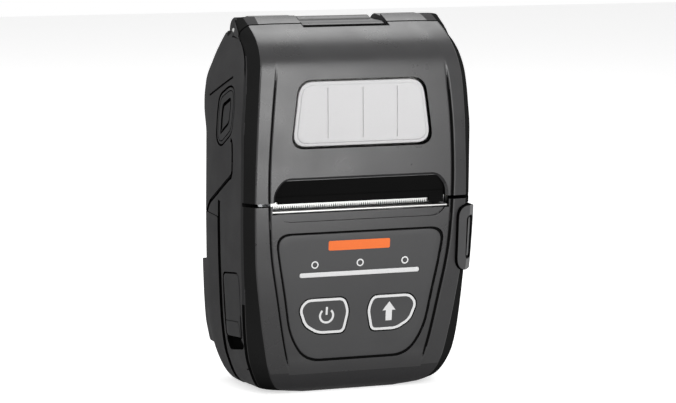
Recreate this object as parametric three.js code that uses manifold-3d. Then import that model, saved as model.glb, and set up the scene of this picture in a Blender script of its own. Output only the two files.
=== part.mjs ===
// Portable receipt printer, standing upright: millimetres, X to the right, Y to the back, Z up.
// The origin is the middle of the flat of the lower end. Every shell is cut from one body form, and what
// fits in a shell is cut from the same form, set in by a named amount.
import * as THREE from "three";
import { mergeVertices } from "three/addons/utils/BufferGeometryUtils.js";
import Module from "manifold-3d";

const wasm = await Module();
wasm.setup();

// Driving dimensions
const rollWidth = 57.5;
const rollRadius = 17.6;
const sideRoom = 11.25;
const depthRoom = 8.8;
const bodyHeight = 124;
const batteryBump = 4.2;
const shellWall = 2.2;
const seamGap = 0.4;
const fitGap = 0.3;
const pressGap = 0.02;
const cutOverrun = 20;
const slotGap = 1.2;
const worksDepth = 16.9;
const hingeY = 8.5;
const hingeDrop = 6;
const hingePinRadius = 1.25;
const earRadius = 4.7;
const knuckleRadius = 5.1;
const rollY = 2.3;
const rollTopRoom = 5.2;
const rollFootRoom = 7.6;
const platenRadius = 4.6;
const platenSet = 11.5;
const platenRise = 6;
const gearModule = 0.7;
const platenTeeth = 12;
const idlerTeeth = 14;
const pinionTeeth = 12;
const motorRadius = 5.4;
const boardSet = 10.4;
const boardThickness = 1.6;

const bodyWidth = rollWidth + 2 * sideRoom;
const bodyDepth = 2 * rollRadius + depthRoom;
const half = bodyWidth / 2;
const turn = Math.PI * 2;

// Places that follow from them: from the hinge pin past the paper roll and the platen to the paper slot
const hingeZ = bodyHeight - hingeDrop;
const rollZ = hingeZ - rollRadius - rollTopRoom;
const platenZ = rollZ - rollRadius - rollFootRoom;
const slotHeight = platenZ - platenRise;
const platenY = platenSet - bodyDepth / 2;
const boardY = boardSet - bodyDepth / 2;
const batteryParting = platenY + worksDepth;
const coverHeight = bodyHeight - slotHeight;

// The body form: shares of the height, then shares of the depth or of the half width
const frontShares = [
  [0, 0.25], [0.016, 0.173], [0.04, 0.123], [0.065, 0.095], [0.1, 0.075], [0.2, 0.048], [0.35, 0.016],
  [0.525, 0], [0.707, 0.003], [0.78, 0.012], [0.842, 0.028], [0.868, 0.043], [0.888, 0.064], [0.904, 0.09],
  [0.918, 0.124], [0.933, 0.17], [0.948, 0.23], [0.962, 0.305], [0.978, 0.42], [0.99, 0.51], [1, 0.614],
];
const backShares = [
  [0, 0.75], [0.01, 0.82], [0.032, 0.886], [0.073, 0.943], [0.12, 0.977], [0.16, 1], [0.67, 1],
  [0.742, 1.05], [0.81, 1.05], [0.871, 0.977], [0.913, 0.9], [0.956, 0.795], [0.988, 0.716], [1, 0.636],
];
const faceHalfShares = [
  [0, 0.42], [0.01, 0.6], [0.027, 0.68], [0.063, 0.745], [0.09, 0.77], [0.145, 0.805], [0.22, 0.845],
  [0.38, 0.905], [0.525, 0.917], [0.707, 0.9025], [0.78, 0.89], [0.842, 0.876], [0.885, 0.858],
  [0.943, 0.836], [1, 0.82],
];
const sideHalfShares = [
  [0, 0.65], [0.01, 0.745], [0.027, 0.81], [0.063, 0.873], [0.105, 0.92], [0.166, 0.949], [0.234, 0.966],
  [0.3, 0.9763], [0.363, 0.988], [0.5, 1], [0.7, 1], [0.77, 0.985], [0.85, 0.965], [0.9, 0.94],
  [0.948, 0.916], [1, 0.9],
];
const backHalfShares = [
  [0, 0.76], [0.01, 0.82], [0.027, 0.86], [0.063, 0.905], [0.105, 0.94], [0.166, 0.965], [0.234, 0.98],
  [0.363, 0.995], [0.5, 1], [0.76, 1], [0.806, 0.9875], [0.883, 0.9425], [0.917, 0.92], [0.946, 0.9],
  [0.978, 0.87], [1, 0.85],
];
const creaseShares = [
  [0, 0.4], [0.01, 0.5], [0.093, 0.6], [0.25, 0.7], [0.42, 0.782], [0.565, 0.8], [0.9, 0.725], [1, 0.6],
];
const levelShares = [
  0, 0.005, 0.014, 0.027, 0.045, 0.07, 0.1, 0.145, 0.2, 0.28, 0.38, 0.48, 0.56, 0.64, 0.7, 0.742, 0.776,
  0.81, 0.83, 0.85, 0.868, 0.885, 0.902, 0.918, 0.933, 0.948, 0.962, 0.978, 0.99, 1,
];
const chamferDepth = 4.9;
const chamferShares = [[0, 1], [0.78, 1], [0.85, 1.1], [0.9, 1.22], [0.93, 1.45], [0.945, 1.75], [1, 1.75]];
const creaseDrop = 0.5;
const backCorner = 3;
const sliverShare = 0.3;

const at = (table, share) => {
  const last = table.length - 1;
  if (share <= table[0][0]) return table[0][1];
  if (share >= table[last][0]) return table[last][1];
  const above = table.findIndex(([s]) => s >= share);
  const [lowShare, low] = table[above - 1];
  const [highShare, high] = table[above];
  return low + ((high - low) * (share - lowShare)) / (highShare - lowShare);
};
const levelY = (share) => (share - 0.5) * bodyDepth;
const frontY = (z) => levelY(at(frontShares, z / bodyHeight));
const backY = (z) => levelY(at(backShares, z / bodyHeight));
const halfAt = (table, z) => at(table, z / bodyHeight) * half;
const chamferAt = (z) => at(chamferShares, z / bodyHeight) * chamferDepth;

// Moves a height-dependent size inwards by an inset: the least over the heights within reach
const insetValue = (size, z, inset) => {
  const reach = Math.abs(inset);
  const steps = [-1, -0.5, 0, 0.5, 1];
  const values = steps.map((step) => {
    const level = Math.min(Math.max(z + step * reach, 0), bodyHeight);
    return size(level) - Math.sign(inset) * (reach - Math.abs(step) * reach);
  });
  return inset >= 0 ? Math.min(...values) : Math.max(...values);
};

const formRing = (z, inset, extraBack) => {
  const front = -insetValue((level) => -frontY(level), z, inset);
  const back = insetValue((level) => backY(level) + extraBack, z, inset);
  const face = insetValue((level) => halfAt(faceHalfShares, level), z, inset);
  const side = insetValue((level) => halfAt(sideHalfShares, level), z, inset);
  const rear = insetValue((level) => halfAt(backHalfShares, level), z, inset);
  const crease = Math.min(halfAt(creaseShares, z), face * 0.95);
  const thickness = back - front;
  const chamfer = Math.min(chamferAt(z), thickness * sliverShare);
  const corner = Math.min(backCorner, thickness * sliverShare);
  const arc = [0, 1, 2, 3].map((i) => (i / 3) * (turn / 4));
  const right = [
    [crease, front],
    [face, front + Math.min(creaseDrop, thickness * 0.1)],
    [side, front + chamfer],
    ...arc.map((a) => [rear - corner + corner * Math.cos(a), back - corner + corner * Math.sin(a)]),
  ];
  const left = right.map(([x, y]) => [-x, y]).reverse();
  return [[0, front], ...right, [0, back], ...left].map(([x, y]) => new THREE.Vector3(x, y, z));
};

const loft = (rings) => {
  const count = rings[0].length;
  const middle = (ring) => ring.reduce((sum, p) => sum.add(p), new THREE.Vector3()).divideScalar(count);
  const points = [...rings.flat(), middle(rings[0]), middle(rings[rings.length - 1])];
  const index = [];
  for (let j = 0; j < count; j += 1) {
    const k = (j + 1) % count;
    for (let i = 0; i + 1 < rings.length; i += 1) {
      const low = i * count;
      const high = low + count;
      index.push(low + j, low + k, high + k, low + j, high + k, high + j);
    }
    const top = (rings.length - 1) * count;
    index.push(points.length - 2, k, j, points.length - 1, top + j, top + k);
  }
  const geometry = new THREE.BufferGeometry().setFromPoints(points);
  geometry.setIndex(index);
  return geometry;
};

// Solids: a closed geometry as a body that can be cut and joined, and back again
const weldReach = 0.0001;
const solid = (geometry) => {
  const bare = geometry.clone();
  bare.deleteAttribute("normal");
  bare.deleteAttribute("uv");
  const merged = mergeVertices(bare, weldReach);
  const vertProperties = new Float32Array(merged.attributes.position.array);
  const triVerts = new Uint32Array(merged.index.array);
  return new wasm.Manifold(new wasm.Mesh({ numProp: 3, vertProperties, triVerts }));
};
const geometryOf = (body) => {
  const mesh = body.getMesh();
  const geometry = new THREE.BufferGeometry();
  geometry.setAttribute("position", new THREE.BufferAttribute(new Float32Array(mesh.vertProperties), 3));
  geometry.setIndex(new THREE.BufferAttribute(new Uint32Array(mesh.triVerts), 1));
  geometry.computeVertexNormals();
  return geometry;
};
const join = (...bodies) => bodies.reduce((sum, body) => sum.add(body));
const cut = (body, ...tools) => tools.reduce((rest, tool) => rest.subtract(tool), body);

const form = (inset, extraBack = 0) => {
  const low = Math.max(inset, 0);
  const thin = shellWall * 1.2;
  const levels = levelShares.map((share) => low + share * (bodyHeight - low));
  const open = levels.filter((z) => {
    const ring = formRing(z, inset, extraBack);
    return inset <= 0 || ring[ring.length / 2].y - ring[0].y > thin;
  });
  return solid(loft(open.map((z) => formRing(z, inset, extraBack))));
};
const layer = (outer, inner) => form(outer).subtract(form(inner));

const block = (x, y, z) => {
  const box = new THREE.BoxGeometry(x[1] - x[0], y[1] - y[0], z[1] - z[0]);
  return solid(box.translate((x[0] + x[1]) / 2, (y[0] + y[1]) / 2, (z[0] + z[1]) / 2));
};
const alongX = new THREE.Matrix4().makeBasis(
  new THREE.Vector3(0, 1, 0), new THREE.Vector3(0, 0, 1), new THREE.Vector3(1, 0, 0),
);
const shapeOf = (points) => new THREE.Shape(points.map(([a, b]) => new THREE.Vector2(a, b)));
const extrudeX = (shape, x) => {
  const depth = x[1] - x[0];
  const extruded = new THREE.ExtrudeGeometry(shape, { depth, bevelEnabled: false });
  return extruded.applyMatrix4(alongX).translate(x[0], 0, 0);
};
const prismX = (points, x) => solid(extrudeX(shapeOf(points), x));
const prismY = (points, y) => {
  const depth = y[1] - y[0];
  const extruded = new THREE.ExtrudeGeometry(shapeOf(points), { depth, bevelEnabled: false });
  return solid(extruded.rotateX(turn / 4).translate(0, y[1], 0));
};
const rod = (radius, x, y, z, sides = 20) => {
  const cylinder = new THREE.CylinderGeometry(radius, radius, x[1] - x[0], sides);
  return solid(cylinder.rotateZ(turn / 4).translate((x[0] + x[1]) / 2, y, z));
};
const post = (radius, x, y, z, sides = 12) => {
  const cylinder = new THREE.CylinderGeometry(radius, radius, y[1] - y[0], sides);
  return solid(cylinder.translate(x, (y[0] + y[1]) / 2, z));
};

// An outline with its corners rounded off, grown outwards by a margin first
const grown = (points, margin) => {
  const area = points.reduce((sum, [x, y], i) => {
    const [nx, ny] = points[(i + 1) % points.length];
    return sum + x * ny - nx * y;
  }, 0);
  const side = Math.sign(area);
  return points.map(([x, y], i) => {
    const [px, py] = points[(i + points.length - 1) % points.length];
    const [nx, ny] = points[(i + 1) % points.length];
    const before = new THREE.Vector2(x - px, y - py).normalize();
    const after = new THREE.Vector2(nx - x, ny - y).normalize();
    const normal = new THREE.Vector2(before.y + after.y, -before.x - after.x).normalize();
    const spread = Math.max(Math.sqrt((1 + before.dot(after)) / 2), 0.4);
    return [x + (side * normal.x * margin) / spread, y + (side * normal.y * margin) / spread];
  });
};
const rounded = (points, radius, steps = 3) =>
  points.flatMap(([x, y], i) => {
    const corner = new THREE.Vector2(x, y);
    const before = new THREE.Vector2(...points[(i + points.length - 1) % points.length]).sub(corner);
    const after = new THREE.Vector2(...points[(i + 1) % points.length]).sub(corner);
    const reach = Math.min(radius, before.length() * 0.49, after.length() * 0.49);
    const start = before.setLength(reach).add(corner);
    const end = after.setLength(reach).add(corner);
    const curve = new THREE.QuadraticBezierCurve(start, corner, end);
    return curve.getPoints(steps).map((p) => [p.x, p.y]);
  });
const lowerFace = (shares) => shares.map(([x, z]) => [x * half, z * slotHeight]);
const upperFace = (shares) => shares.map(([x, z]) => [x * half, slotHeight + z * coverHeight]);
const upperSide = (shares) => shares.map(([y, z]) => [levelY(y), slotHeight + z * coverHeight]);
const aboutPoint = (y, z, size, shares) => shares.map(([a, b]) => [y + a * size, z + b * size]);
const bothSides = (shares) => [...shares, ...shares.map(([x, z]) => [-x, z]).reverse()];
const rectangle = (x, z) => [[x[0], z[0]], [x[1], z[0]], [x[1], z[1]], [x[0], z[1]]];

const facePrism = (points, back = 0) => prismY(points, [-bodyDepth, back]);
const acrossX = [-bodyWidth, bodyWidth];

const printer = new THREE.Group();
const finishes = {
  shell: [0x4b4a4c, 0.62, 0],
  panel: [0x545456, 0.5, 0],
  dark: [0x242325, 0.6, 0],
  window: [0xdcdadb, 0.35, 0],
  light: [0xe6e6e6, 0.4, 0],
  steel: [0xc4c4c4, 0.3, 1],
  rubber: [0x2c2c2e, 0.85, 0],
  paper: [0xf2f1ec, 0.9, 0],
  card: [0x9a7b58, 0.9, 0],
  board: [0x1f5a38, 0.6, 0],
  ceramic: [0xd8d2c4, 0.4, 0],
  aluminium: [0xa9abad, 0.45, 1],
  nylon: [0xe9e7df, 0.5, 0],
  brass: [0xc2a15a, 0.4, 1],
  cell: [0x3d5f86, 0.5, 0],
};
const addMesh = (name, geometry, finishName) => {
  const [color, roughness, metalness] = finishes[finishName];
  const mesh = new THREE.Mesh(geometry, new THREE.MeshStandardMaterial({ color, roughness, metalness }));
  mesh.name = name;
  printer.add(mesh);
  return mesh;
};
const addSolid = (name, body, finishName) => addMesh(name, geometryOf(body), finishName);

// Parting lines: the cover seam follows the rear edge of the corner chamfer, and the cheek line steps down
// the side to the back, over the battery pack
const coverFoot = slotHeight + slotGap;
const seamSet = 5.5;
const seamDrop = 0.6;
const seamKink = 1.2;
const seamLevels = 16;
const seamLine = (offset) => {
  const rise = hingeZ - seamKink - slotHeight;
  const topY = hingeY - seamSet + offset;
  const levels = Array.from({ length: seamLevels + 1 }, (_, i) => slotHeight + (rise * i) / seamLevels);
  const edge = levels.map((z) => [frontY(z) + chamferAt(z) + offset, z]);
  return [...edge, [topY, hingeZ - seamDrop], [topY, bodyHeight + cutOverrun]];
};
const coverSide = (offset, foot) => {
  const line = seamLine(offset).filter(([, z]) => z > foot);
  const start = [frontY(foot) + chamferAt(foot) + offset, foot];
  return [[-bodyDepth, foot], start, ...line, [-bodyDepth, bodyHeight + cutOverrun]];
};
const packDrop = 7.2;
const packTop = slotHeight - packDrop;
const cheekShares = [
  [0.09, 1], [0.335, 1], [0.328, 0.752], [0.335, 0.623], [0.4, 0.542], [0.64, 0.323], [0.84, 0.138],
  [0.93, 0], [1.3, 0],
];
const cheekRise = 26.1;
const cheekFoot = packTop + seamGap;
const cheek = cheekShares.map(([y, z]) => [levelY(y), cheekFoot + z * cheekRise]);
const belowCheek = (offset) => [
  [-bodyDepth, cheek[0][1] - offset],
  ...cheek.map(([y, z]) => [y - offset, z - offset]),
  [bodyDepth, -cutOverrun],
  [-bodyDepth, -cutOverrun],
];

const outerForm = form(0);
const shell = outerForm.subtract(form(shellWall));
const caseShell = cut(shell, prismX(coverSide(seamGap, slotHeight), acrossX));

// Front case: the panel side below the slot, with the lower flanks and the front half of the base
const behindParting = block(acrossX, [batteryParting, bodyDepth], [-cutOverrun, packTop + fitGap]);
const panelShares = bothSides([
  [0.725, 0.849], [0.69, 0.6975], [0.6375, 0.531], [0.585, 0.3275], [0.445, 0.191],
]);
const panelCorner = 5.5;
const panelOutline = lowerFace(panelShares);
const panelSet = 0.15;
const panelThickness = 0.6;
const lightBarShares = [0.525, 0.6375];
const lightBarHeight = 1.6;
const keyShares = [
  [-0.46, 0.5134], [-0.525, 0.461], [-0.47, 0.368], [-0.35, 0.3226], [-0.115, 0.3226], [-0.075, 0.4417],
  [-0.12, 0.5134],
];
const keyMiddleShares = [0.275, 0.4188];
const keyCorner = 2.6;
const keyCap = 1.5;
const keyTravel = 0.6;
const [[lightBarHalf, lightBarZ], [keyX, keyZ]] = lowerFace([lightBarShares, keyMiddleShares]);
const keySign = { power_button: -1, feed_button: 1 };
const keyOutline = (sign) => lowerFace(keyShares.map(([x, z]) => [-sign * x, z]));
const lipShares = bothSides([[0.765, 0.978], [0.68, 0.917]]);
const lipDepth = 1.1;
const lipCorner = 3;
const edgeMargin = 2.15;
const edgeHalf = rollWidth / 2 + edgeMargin;
const edgeDrop = 2.6;
const edgeZ = slotHeight - edgeDrop;
const edgeRoom = 4.4;
const boardMargin = 3.25;
const boardHalf = rollWidth / 2 + boardMargin;
const boardLow = 12;
const boardBack = boardY + boardThickness;
const pillarRadius = 2;
const pillarSet = 5;
const pillarRise = 4;
const pillarDrop = 2.5;
const pillarBore = 5.5;
const pillarX = boardHalf - pillarSet;
const pillarLow = boardLow + pillarRise;
const screwRadius = 1;
const bayWallThickness = 1.5;
const bayWallRoom = 0.8;
const bayWallBack = batteryParting - bayWallRoom;
const bayWallY = [bayWallBack - bayWallThickness, bayWallBack];
const flapLowShare = 0.303;
const flapHighShare = 0.631;
const flapWidth = 15.2;
const flapSet = 1.5;
const flapCorner = 3;
const flapThickness = 1.3;
const flapBackY = bayWallY[0] - flapSet;
const flapFrontY = flapBackY - flapWidth;
const flapFootZ = flapLowShare * slotHeight;
const flapTopZ = flapHighShare * slotHeight;
const notchHeight = 3.4;
const notchDepth = 1.5;
const notchCorner = 1;
const flapOutline = rectangle([flapFrontY, flapBackY], [flapFootZ, flapTopZ]);
const socketDepth = 4;
const socketHeight = 9.6;
const socketRise = 7.6;
const socketY = [boardBack + fitGap, boardBack + fitGap + socketDepth];
const socketZ = [flapFootZ + socketRise, flapFootZ + socketRise + socketHeight];
const releaseDrop = 2.2;
const releaseHeight = 22;
const releaseWidth = 6;
const releaseProud = 1.3;
const releaseReach = 14.4;
const releaseDepth = 2.4;
const releaseCorner = 4.5;
const releaseSwing = 1.2;
const releaseTop = slotHeight - releaseDrop;
const releaseFoot = releaseTop - releaseHeight;
const releaseX = half - releaseWidth;
const releaseBackY = releaseReach - bodyDepth / 2;
const releaseOutline = rectangle([releaseX, half + releaseProud * 2], [releaseFoot, releaseTop]);

const inFront = prismX(belowCheek(fitGap / 2), acrossX).subtract(behindParting);
const panelPocket = facePrism(rounded(grown(panelOutline, seamGap), panelCorner)).subtract(
  form(panelSet + panelThickness + fitGap),
);
const lipPocket = facePrism(rounded(lowerFace(lipShares), lipCorner)).subtract(form(lipDepth));
const edgeNotch = block([-edgeHalf, edgeHalf], [-bodyDepth, frontY(edgeZ) + edgeRoom], [edgeZ, bodyHeight]);
const flapPocket = prismX(rounded(grown(flapOutline, seamGap), flapCorner), [-bodyWidth, 0]);
const notchOutline = rectangle(
  [flapFrontY + flapCorner, flapBackY - flapCorner], [flapFootZ - notchHeight, flapFootZ],
);
const notchPocket = prismX(rounded(notchOutline, notchCorner), [-bodyWidth, 0]);
const portBacking = layer(shellWall / 2, shellWall * 1.6).intersect(
  prismX(grown(flapOutline, shellWall * 2), [-bodyWidth, 0]).intersect(
    block(acrossX, [-bodyDepth, bayWallY[0] - fitGap], [0, bodyHeight]),
  ),
);
const grooveHeight = 5.8;
const grooveWidth = 1;
const grooveDepth = 0.8;
const grooveY = [batteryParting - grooveWidth / 2, batteryParting + fitGap + grooveWidth / 3];
const partingGroove = block(acrossX, grooveY, [packTop, packTop + grooveHeight]).subtract(form(grooveDepth));
const socketHole = prismX(grown(rectangle(socketY, socketZ), fitGap), [-bodyWidth, 0]);
const releasePocket = prismY(rounded(grown(releaseOutline, seamGap), releaseCorner), [
  -bodyDepth, releaseBackY + releaseSwing,
]);

// The gear train stands on the platen, and the frame's foot and the board's upper edge lie under the pinion
const idlerReach = ((platenTeeth + idlerTeeth) * gearModule) / 2;
const pinionReach = ((idlerTeeth + pinionTeeth) * gearModule) / 2;
const departure = Math.atan2(hingeY - platenY, hingeZ - platenZ);
const idlerY = platenY + idlerReach * Math.cos(departure);
const idlerZ = platenZ - idlerReach * Math.sin(departure);
const pinionSlant = (-96 * Math.PI) / 180;
const pinionY = idlerY + pinionReach * Math.cos(pinionSlant);
const pinionZ = idlerZ + pinionReach * Math.sin(pinionSlant);
const frameMargin = 2.8;
const frameFoot = pinionZ - motorRadius - frameMargin;
const boardRise = 1.6;
const boardHigh = frameFoot + boardRise;
const pillarHigh = boardHigh - pillarDrop;
const pillars = [-1, 1].flatMap((side) =>
  [pillarLow, pillarHigh].map((z) => {
    const wall = [frontY(z) + shellWall / 2, boardY - fitGap];
    const bore = post(screwRadius + fitGap, side * pillarX, [boardY - pillarBore, 0], z);
    return post(pillarRadius, side * pillarX, wall, z).subtract(bore);
  }),
);
const shelfHeight = 2.4;
const shelfWidth = 6.6;
const shelfReach = 9.7;
const feetFrontY = bayWallY[0] - shelfReach;
const shelf = (side) => {
  const edges = [side * (half - shelfWidth), side * half].sort((a, b) => a - b);
  return block(edges, [feetFrontY - seamGap, bayWallY[0] - fitGap], [
    frameFoot - fitGap - shelfHeight, frameFoot - fitGap,
  ]);
};
const frontShell = join(caseShell.intersect(inFront), portBacking);
const stands = join(...pillars, shelf(-1), shelf(1)).intersect(form(shellWall / 4));
const throughKeys = [-1, 1].map((sign) => facePrism(rounded(grown(keyOutline(sign), fitGap), keyCorner)));
const frontCase = cut(
  frontShell,
  panelPocket,
  lipPocket,
  edgeNotch,
  flapPocket.subtract(form(flapThickness + fitGap)),
  notchPocket.subtract(form(notchDepth)),
  partingGroove,
  socketHole,
  releasePocket,
  ...throughKeys,
);
addSolid("front_case", join(frontCase, stands), "shell");

// Control panel: a thin moulded overlay with the light bar and the two keys let into it
const barOutline = rectangle(
  [-lightBarHalf, lightBarHalf], [lightBarZ - lightBarHeight / 2, lightBarZ + lightBarHeight / 2],
);
const panelLayer = layer(panelSet, panelSet + panelThickness);
const panelPlate = cut(
  panelLayer.intersect(facePrism(rounded(panelOutline, panelCorner))),
  facePrism(rounded(grown(barOutline, fitGap), lightBarHeight)),
  ...throughKeys,
);
addSolid("control_panel", panelPlate, "panel");
addSolid("light_bar", panelLayer.intersect(facePrism(rounded(barOutline, lightBarHeight / 2))), "light");

// Keys: caps that slide in their openings, each with a stem over its dome switch on the board
const domeRadius = 3;
const domeHeight = 0.7;
const stemRadius = 1.6;
const stemEnd = boardY - fitGap - domeHeight - keyTravel - fitGap;
Object.entries(keySign).forEach(([name, sign]) => {
  const cap = layer(panelSet, panelSet + keyCap).intersect(facePrism(rounded(keyOutline(sign), keyCorner)));
  const stem = post(stemRadius, sign * keyX, [frontY(keyZ) + keyCap / 2, stemEnd], keyZ);
  addSolid(name, join(cap, stem), "panel");
  const domeSeat = boardY - fitGap;
  const dome = new THREE.CylinderGeometry(domeRadius / 2, domeRadius, domeHeight, 20);
  const domeMesh = addMesh(name.replace("button", "dome"), dome.rotateX(turn / 2), "steel");
  domeMesh.position.set(sign * keyX, domeSeat - domeHeight / 2, keyZ);
});

// Main board, with the charging socket that faces the port flap, and a buzzer
const boardSpan = [-bodyDepth, bodyDepth];
const boardHoles = [-1, 1].flatMap((side) =>
  [pillarLow, pillarHigh].map((z) => post(screwRadius + fitGap, side * pillarX, boardSpan, z)),
);
addSolid(
  "main_board",
  cut(block([-boardHalf, boardHalf], [boardY, boardBack], [boardLow, boardHigh]), ...boardHoles),
  "board",
);
const screwHead = 1.9;
const screwHeadHeight = 1.2;
const screwLength = 5;
const screwProfile = [
  [0, 0], [screwHead, 0], [screwHead, screwHeadHeight], [screwRadius, screwHeadHeight],
  [screwRadius, screwHeadHeight + screwLength], [0, screwHeadHeight + screwLength],
];
const screwPlaces = [-1, 1].flatMap((side) => [pillarLow, pillarHigh].map((z) => [side * pillarX, z]));
screwPlaces.forEach(([x, z], i) => {
  const turned = screwProfile.map(([r, h]) => new THREE.Vector2(r, -h)).reverse();
  const screw = addMesh(`board_screw_${i + 1}`, new THREE.LatheGeometry(turned, 16), "steel");
  screw.position.set(x, boardBack + fitGap + screwHeadHeight, z);
});
const socketSet = 3;
const socketLength = 8;
const socketWall = 0.5;
const tongueThickness = 0.8;
const tongueMargin = 1.4;
const socketX = [socketSet - half, socketSet + socketLength - half];
const socketMiddleY = (socketY[0] + socketY[1]) / 2;
const socketBody = block(socketX, socketY, socketZ);
const socketMouth = block(
  [-bodyWidth, socketX[1] - socketWall * 2], [socketY[0] + socketWall, socketY[1] - socketWall],
  [socketZ[0] + socketWall, socketZ[1] - socketWall],
);
const socketTongue = block(
  [socketX[0] + socketWall * 2, socketX[1]],
  [socketMiddleY - tongueThickness / 2, socketMiddleY + tongueThickness / 2],
  [socketZ[0] + tongueMargin, socketZ[1] - tongueMargin],
);
addSolid("charging_socket", join(socketBody.subtract(socketMouth), socketTongue), "steel");
const buzzerRadius = 4.5;
const buzzerHeight = 4;
const buzzerCan = new THREE.CylinderGeometry(buzzerRadius, buzzerRadius, buzzerHeight, 20);
const buzzer = addMesh("buzzer", buzzerCan, "dark");
buzzer.position.set(boardHalf / 2, boardBack + fitGap + buzzerHeight / 2, (pillarLow + pillarHigh) / 2);

// Port flap: it follows the flank, and turns on a lip along its upper edge
const flapPrism = prismX(rounded(flapOutline, flapCorner), [-bodyWidth, 0]);
const flapBody = layer(0, flapThickness).intersect(flapPrism);
addSolid("port_flap", flapBody, "shell");

// Release lever at the right front corner, proud of the flank
const releaseBody = form(-releaseProud)
  .subtract(form(releaseDepth))
  .intersect(prismY(rounded(releaseOutline, releaseCorner), [-bodyDepth, releaseBackY]));
const releaseRim = 2.6;
const releaseEnds = 4;
const releaseGrooveCorner = 2;
const releaseGrooveLine = rectangle(
  [releaseX + releaseRim, half + releaseProud], [releaseFoot + releaseEnds, releaseTop - releaseEnds],
);
const releaseGrooveSpan = [-bodyDepth, chamferDepth * 1.6 - bodyDepth / 2];
const releaseGroove = form(-releaseProud)
  .subtract(form(-releaseProud / 3))
  .intersect(prismY(rounded(releaseGrooveLine, releaseGrooveCorner), releaseGrooveSpan));
addSolid("release_lever", releaseBody.subtract(releaseGroove), "shell");

// Plain steel edge along the lower side of the paper slot
const edgeThickness = 0.6;
const edgeWidth = 4;
const edgeSet = 1.3;
const edgeFront = frontY(edgeZ) + edgeSet;
const edgeSeat = edgeZ + fitGap;
addSolid(
  "paper_edge",
  block([fitGap - edgeHalf, edgeHalf - fitGap], [edgeFront, edgeFront + edgeWidth], [
    edgeSeat, edgeSeat + edgeThickness,
  ]),
  "steel",
);

// Rear case: the roll housing with its flanks, the ears and the centre barrel of the hinge
const rearDrop = 0.6;
const rearTop = hingeZ - rearDrop;
const rootSet = 0.2;
const barrelHalf = 13;
const recessMargin = 2.2;
const knuckleMargin = 1.15;
const knuckleHalf = [barrelHalf + recessMargin, rollWidth / 2 + knuckleMargin];
const earWidth = 3.9;
const earX = [knuckleHalf[1] + seamGap, knuckleHalf[1] + seamGap + earWidth];
const knuckleGap = 0.5;
const aboveCheek = cut(
  block(acrossX, [-bodyDepth, bodyDepth], [slotHeight - cutOverrun, rearTop]),
  prismX(belowCheek(-fitGap / 2), acrossX),
);
const hingeBore = rod(hingePinRadius + fitGap, acrossX, hingeY, hingeZ, 20);
const mirrorRange = (range, side) => range.map((x) => x * side).sort((a, b) => a - b);
const knuckleRoom = [-1, 1].map((side) => {
  const reach = [barrelHalf + knuckleGap, knuckleHalf[1] + knuckleGap / 2];
  return rod(knuckleRadius + knuckleGap, mirrorRange(reach, side), hingeY, hingeZ);
});
const earRootShares = [[-0.85, -2.13], [0.85, -2.13], [1, 0], [-1, 0]];
const earRoot = aboutPoint(hingeY, hingeZ, earRadius, earRootShares);
const ear = (side) => {
  const span = mirrorRange([earX[0], earX[1] + shellWall], side);
  const root = prismX(earRoot, span).intersect(form(rootSet));
  return join(rod(earRadius, mirrorRange(earX, side), hingeY, hingeZ), root);
};
const barrelSpan = [-barrelHalf, barrelHalf];
const recessReach = 14.5;
const recessFront = hingeY - recessReach;
const barrelReach = 12;
const barrelRootShares = [[0, -0.5], [1, -1], [1, -0.167], [0, 0.25]];
const barrelRoot = prismX(aboutPoint(hingeY, hingeZ, barrelReach, barrelRootShares), barrelSpan).intersect(
  form(rootSet),
);
const apronHalf = knuckleHalf[0] - knuckleGap;
const apronReach = recessReach - knuckleGap;
const apronSet = 0.8;
const apronShares = [[-1, -0.1], [0, -0.3], [0, 0.25], [-1, 0.25]];
const apronOutline = aboutPoint(hingeY, hingeZ, apronReach, apronShares);
const apron = prismX(apronOutline, [-apronHalf, apronHalf]).intersect(form(apronSet));
const barrel = join(rod(earRadius, barrelSpan, hingeY, hingeZ), barrelRoot, apron);
const plugShares = [
  [0.44, 0.624], [0.345, 0.6115], [0.318, 0.514], [0.345, 0.38], [0.6, 0.281], [0.7, 0.308], [0.675, 0.473],
  [0.65, 0.556],
];
const plugOutline = upperSide(plugShares);
const plugCorner = 3;
const plugThickness = 1.2;
const plugSet = 0.1;
const plugSlotRim = 3.4;
const plugSlotDepth = 0.7;
const plugSides = { left: [-bodyWidth, 0], right: [0, bodyWidth] };
const plugPockets = Object.values(plugSides).map((span) =>
  prismX(rounded(grown(plugOutline, seamGap), plugCorner), span).subtract(form(plugThickness + fitGap)),
);
const rearShell = cut(caseShell.intersect(aboveCheek), ...knuckleRoom, ...plugPockets);
addSolid("rear_case", join(rearShell, ear(-1), ear(1), barrel).subtract(hingeBore), "shell");
Object.entries(plugSides).forEach(([side, span]) => {
  const plug = layer(plugSet, plugThickness).intersect(prismX(rounded(plugOutline, plugCorner), span));
  const slotLine = rounded(grown(plugOutline, -plugSlotRim), plugCorner / 2);
  const slot = prismX(slotLine, span).subtract(form(plugSlotDepth));
  addSolid(`strap_plug_${side}`, plug.subtract(slot), "shell");
});
const pinProud = 0.5;
const pinLength = 2 * (earX[1] + pinProud);
const pinRod = new THREE.CylinderGeometry(hingePinRadius, hingePinRadius, pinLength, 20);
const pin = addMesh("hinge_pin", pinRod, "steel");
pin.rotation.z = turn / 4;
pin.position.set(0, hingeY, hingeZ);

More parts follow.
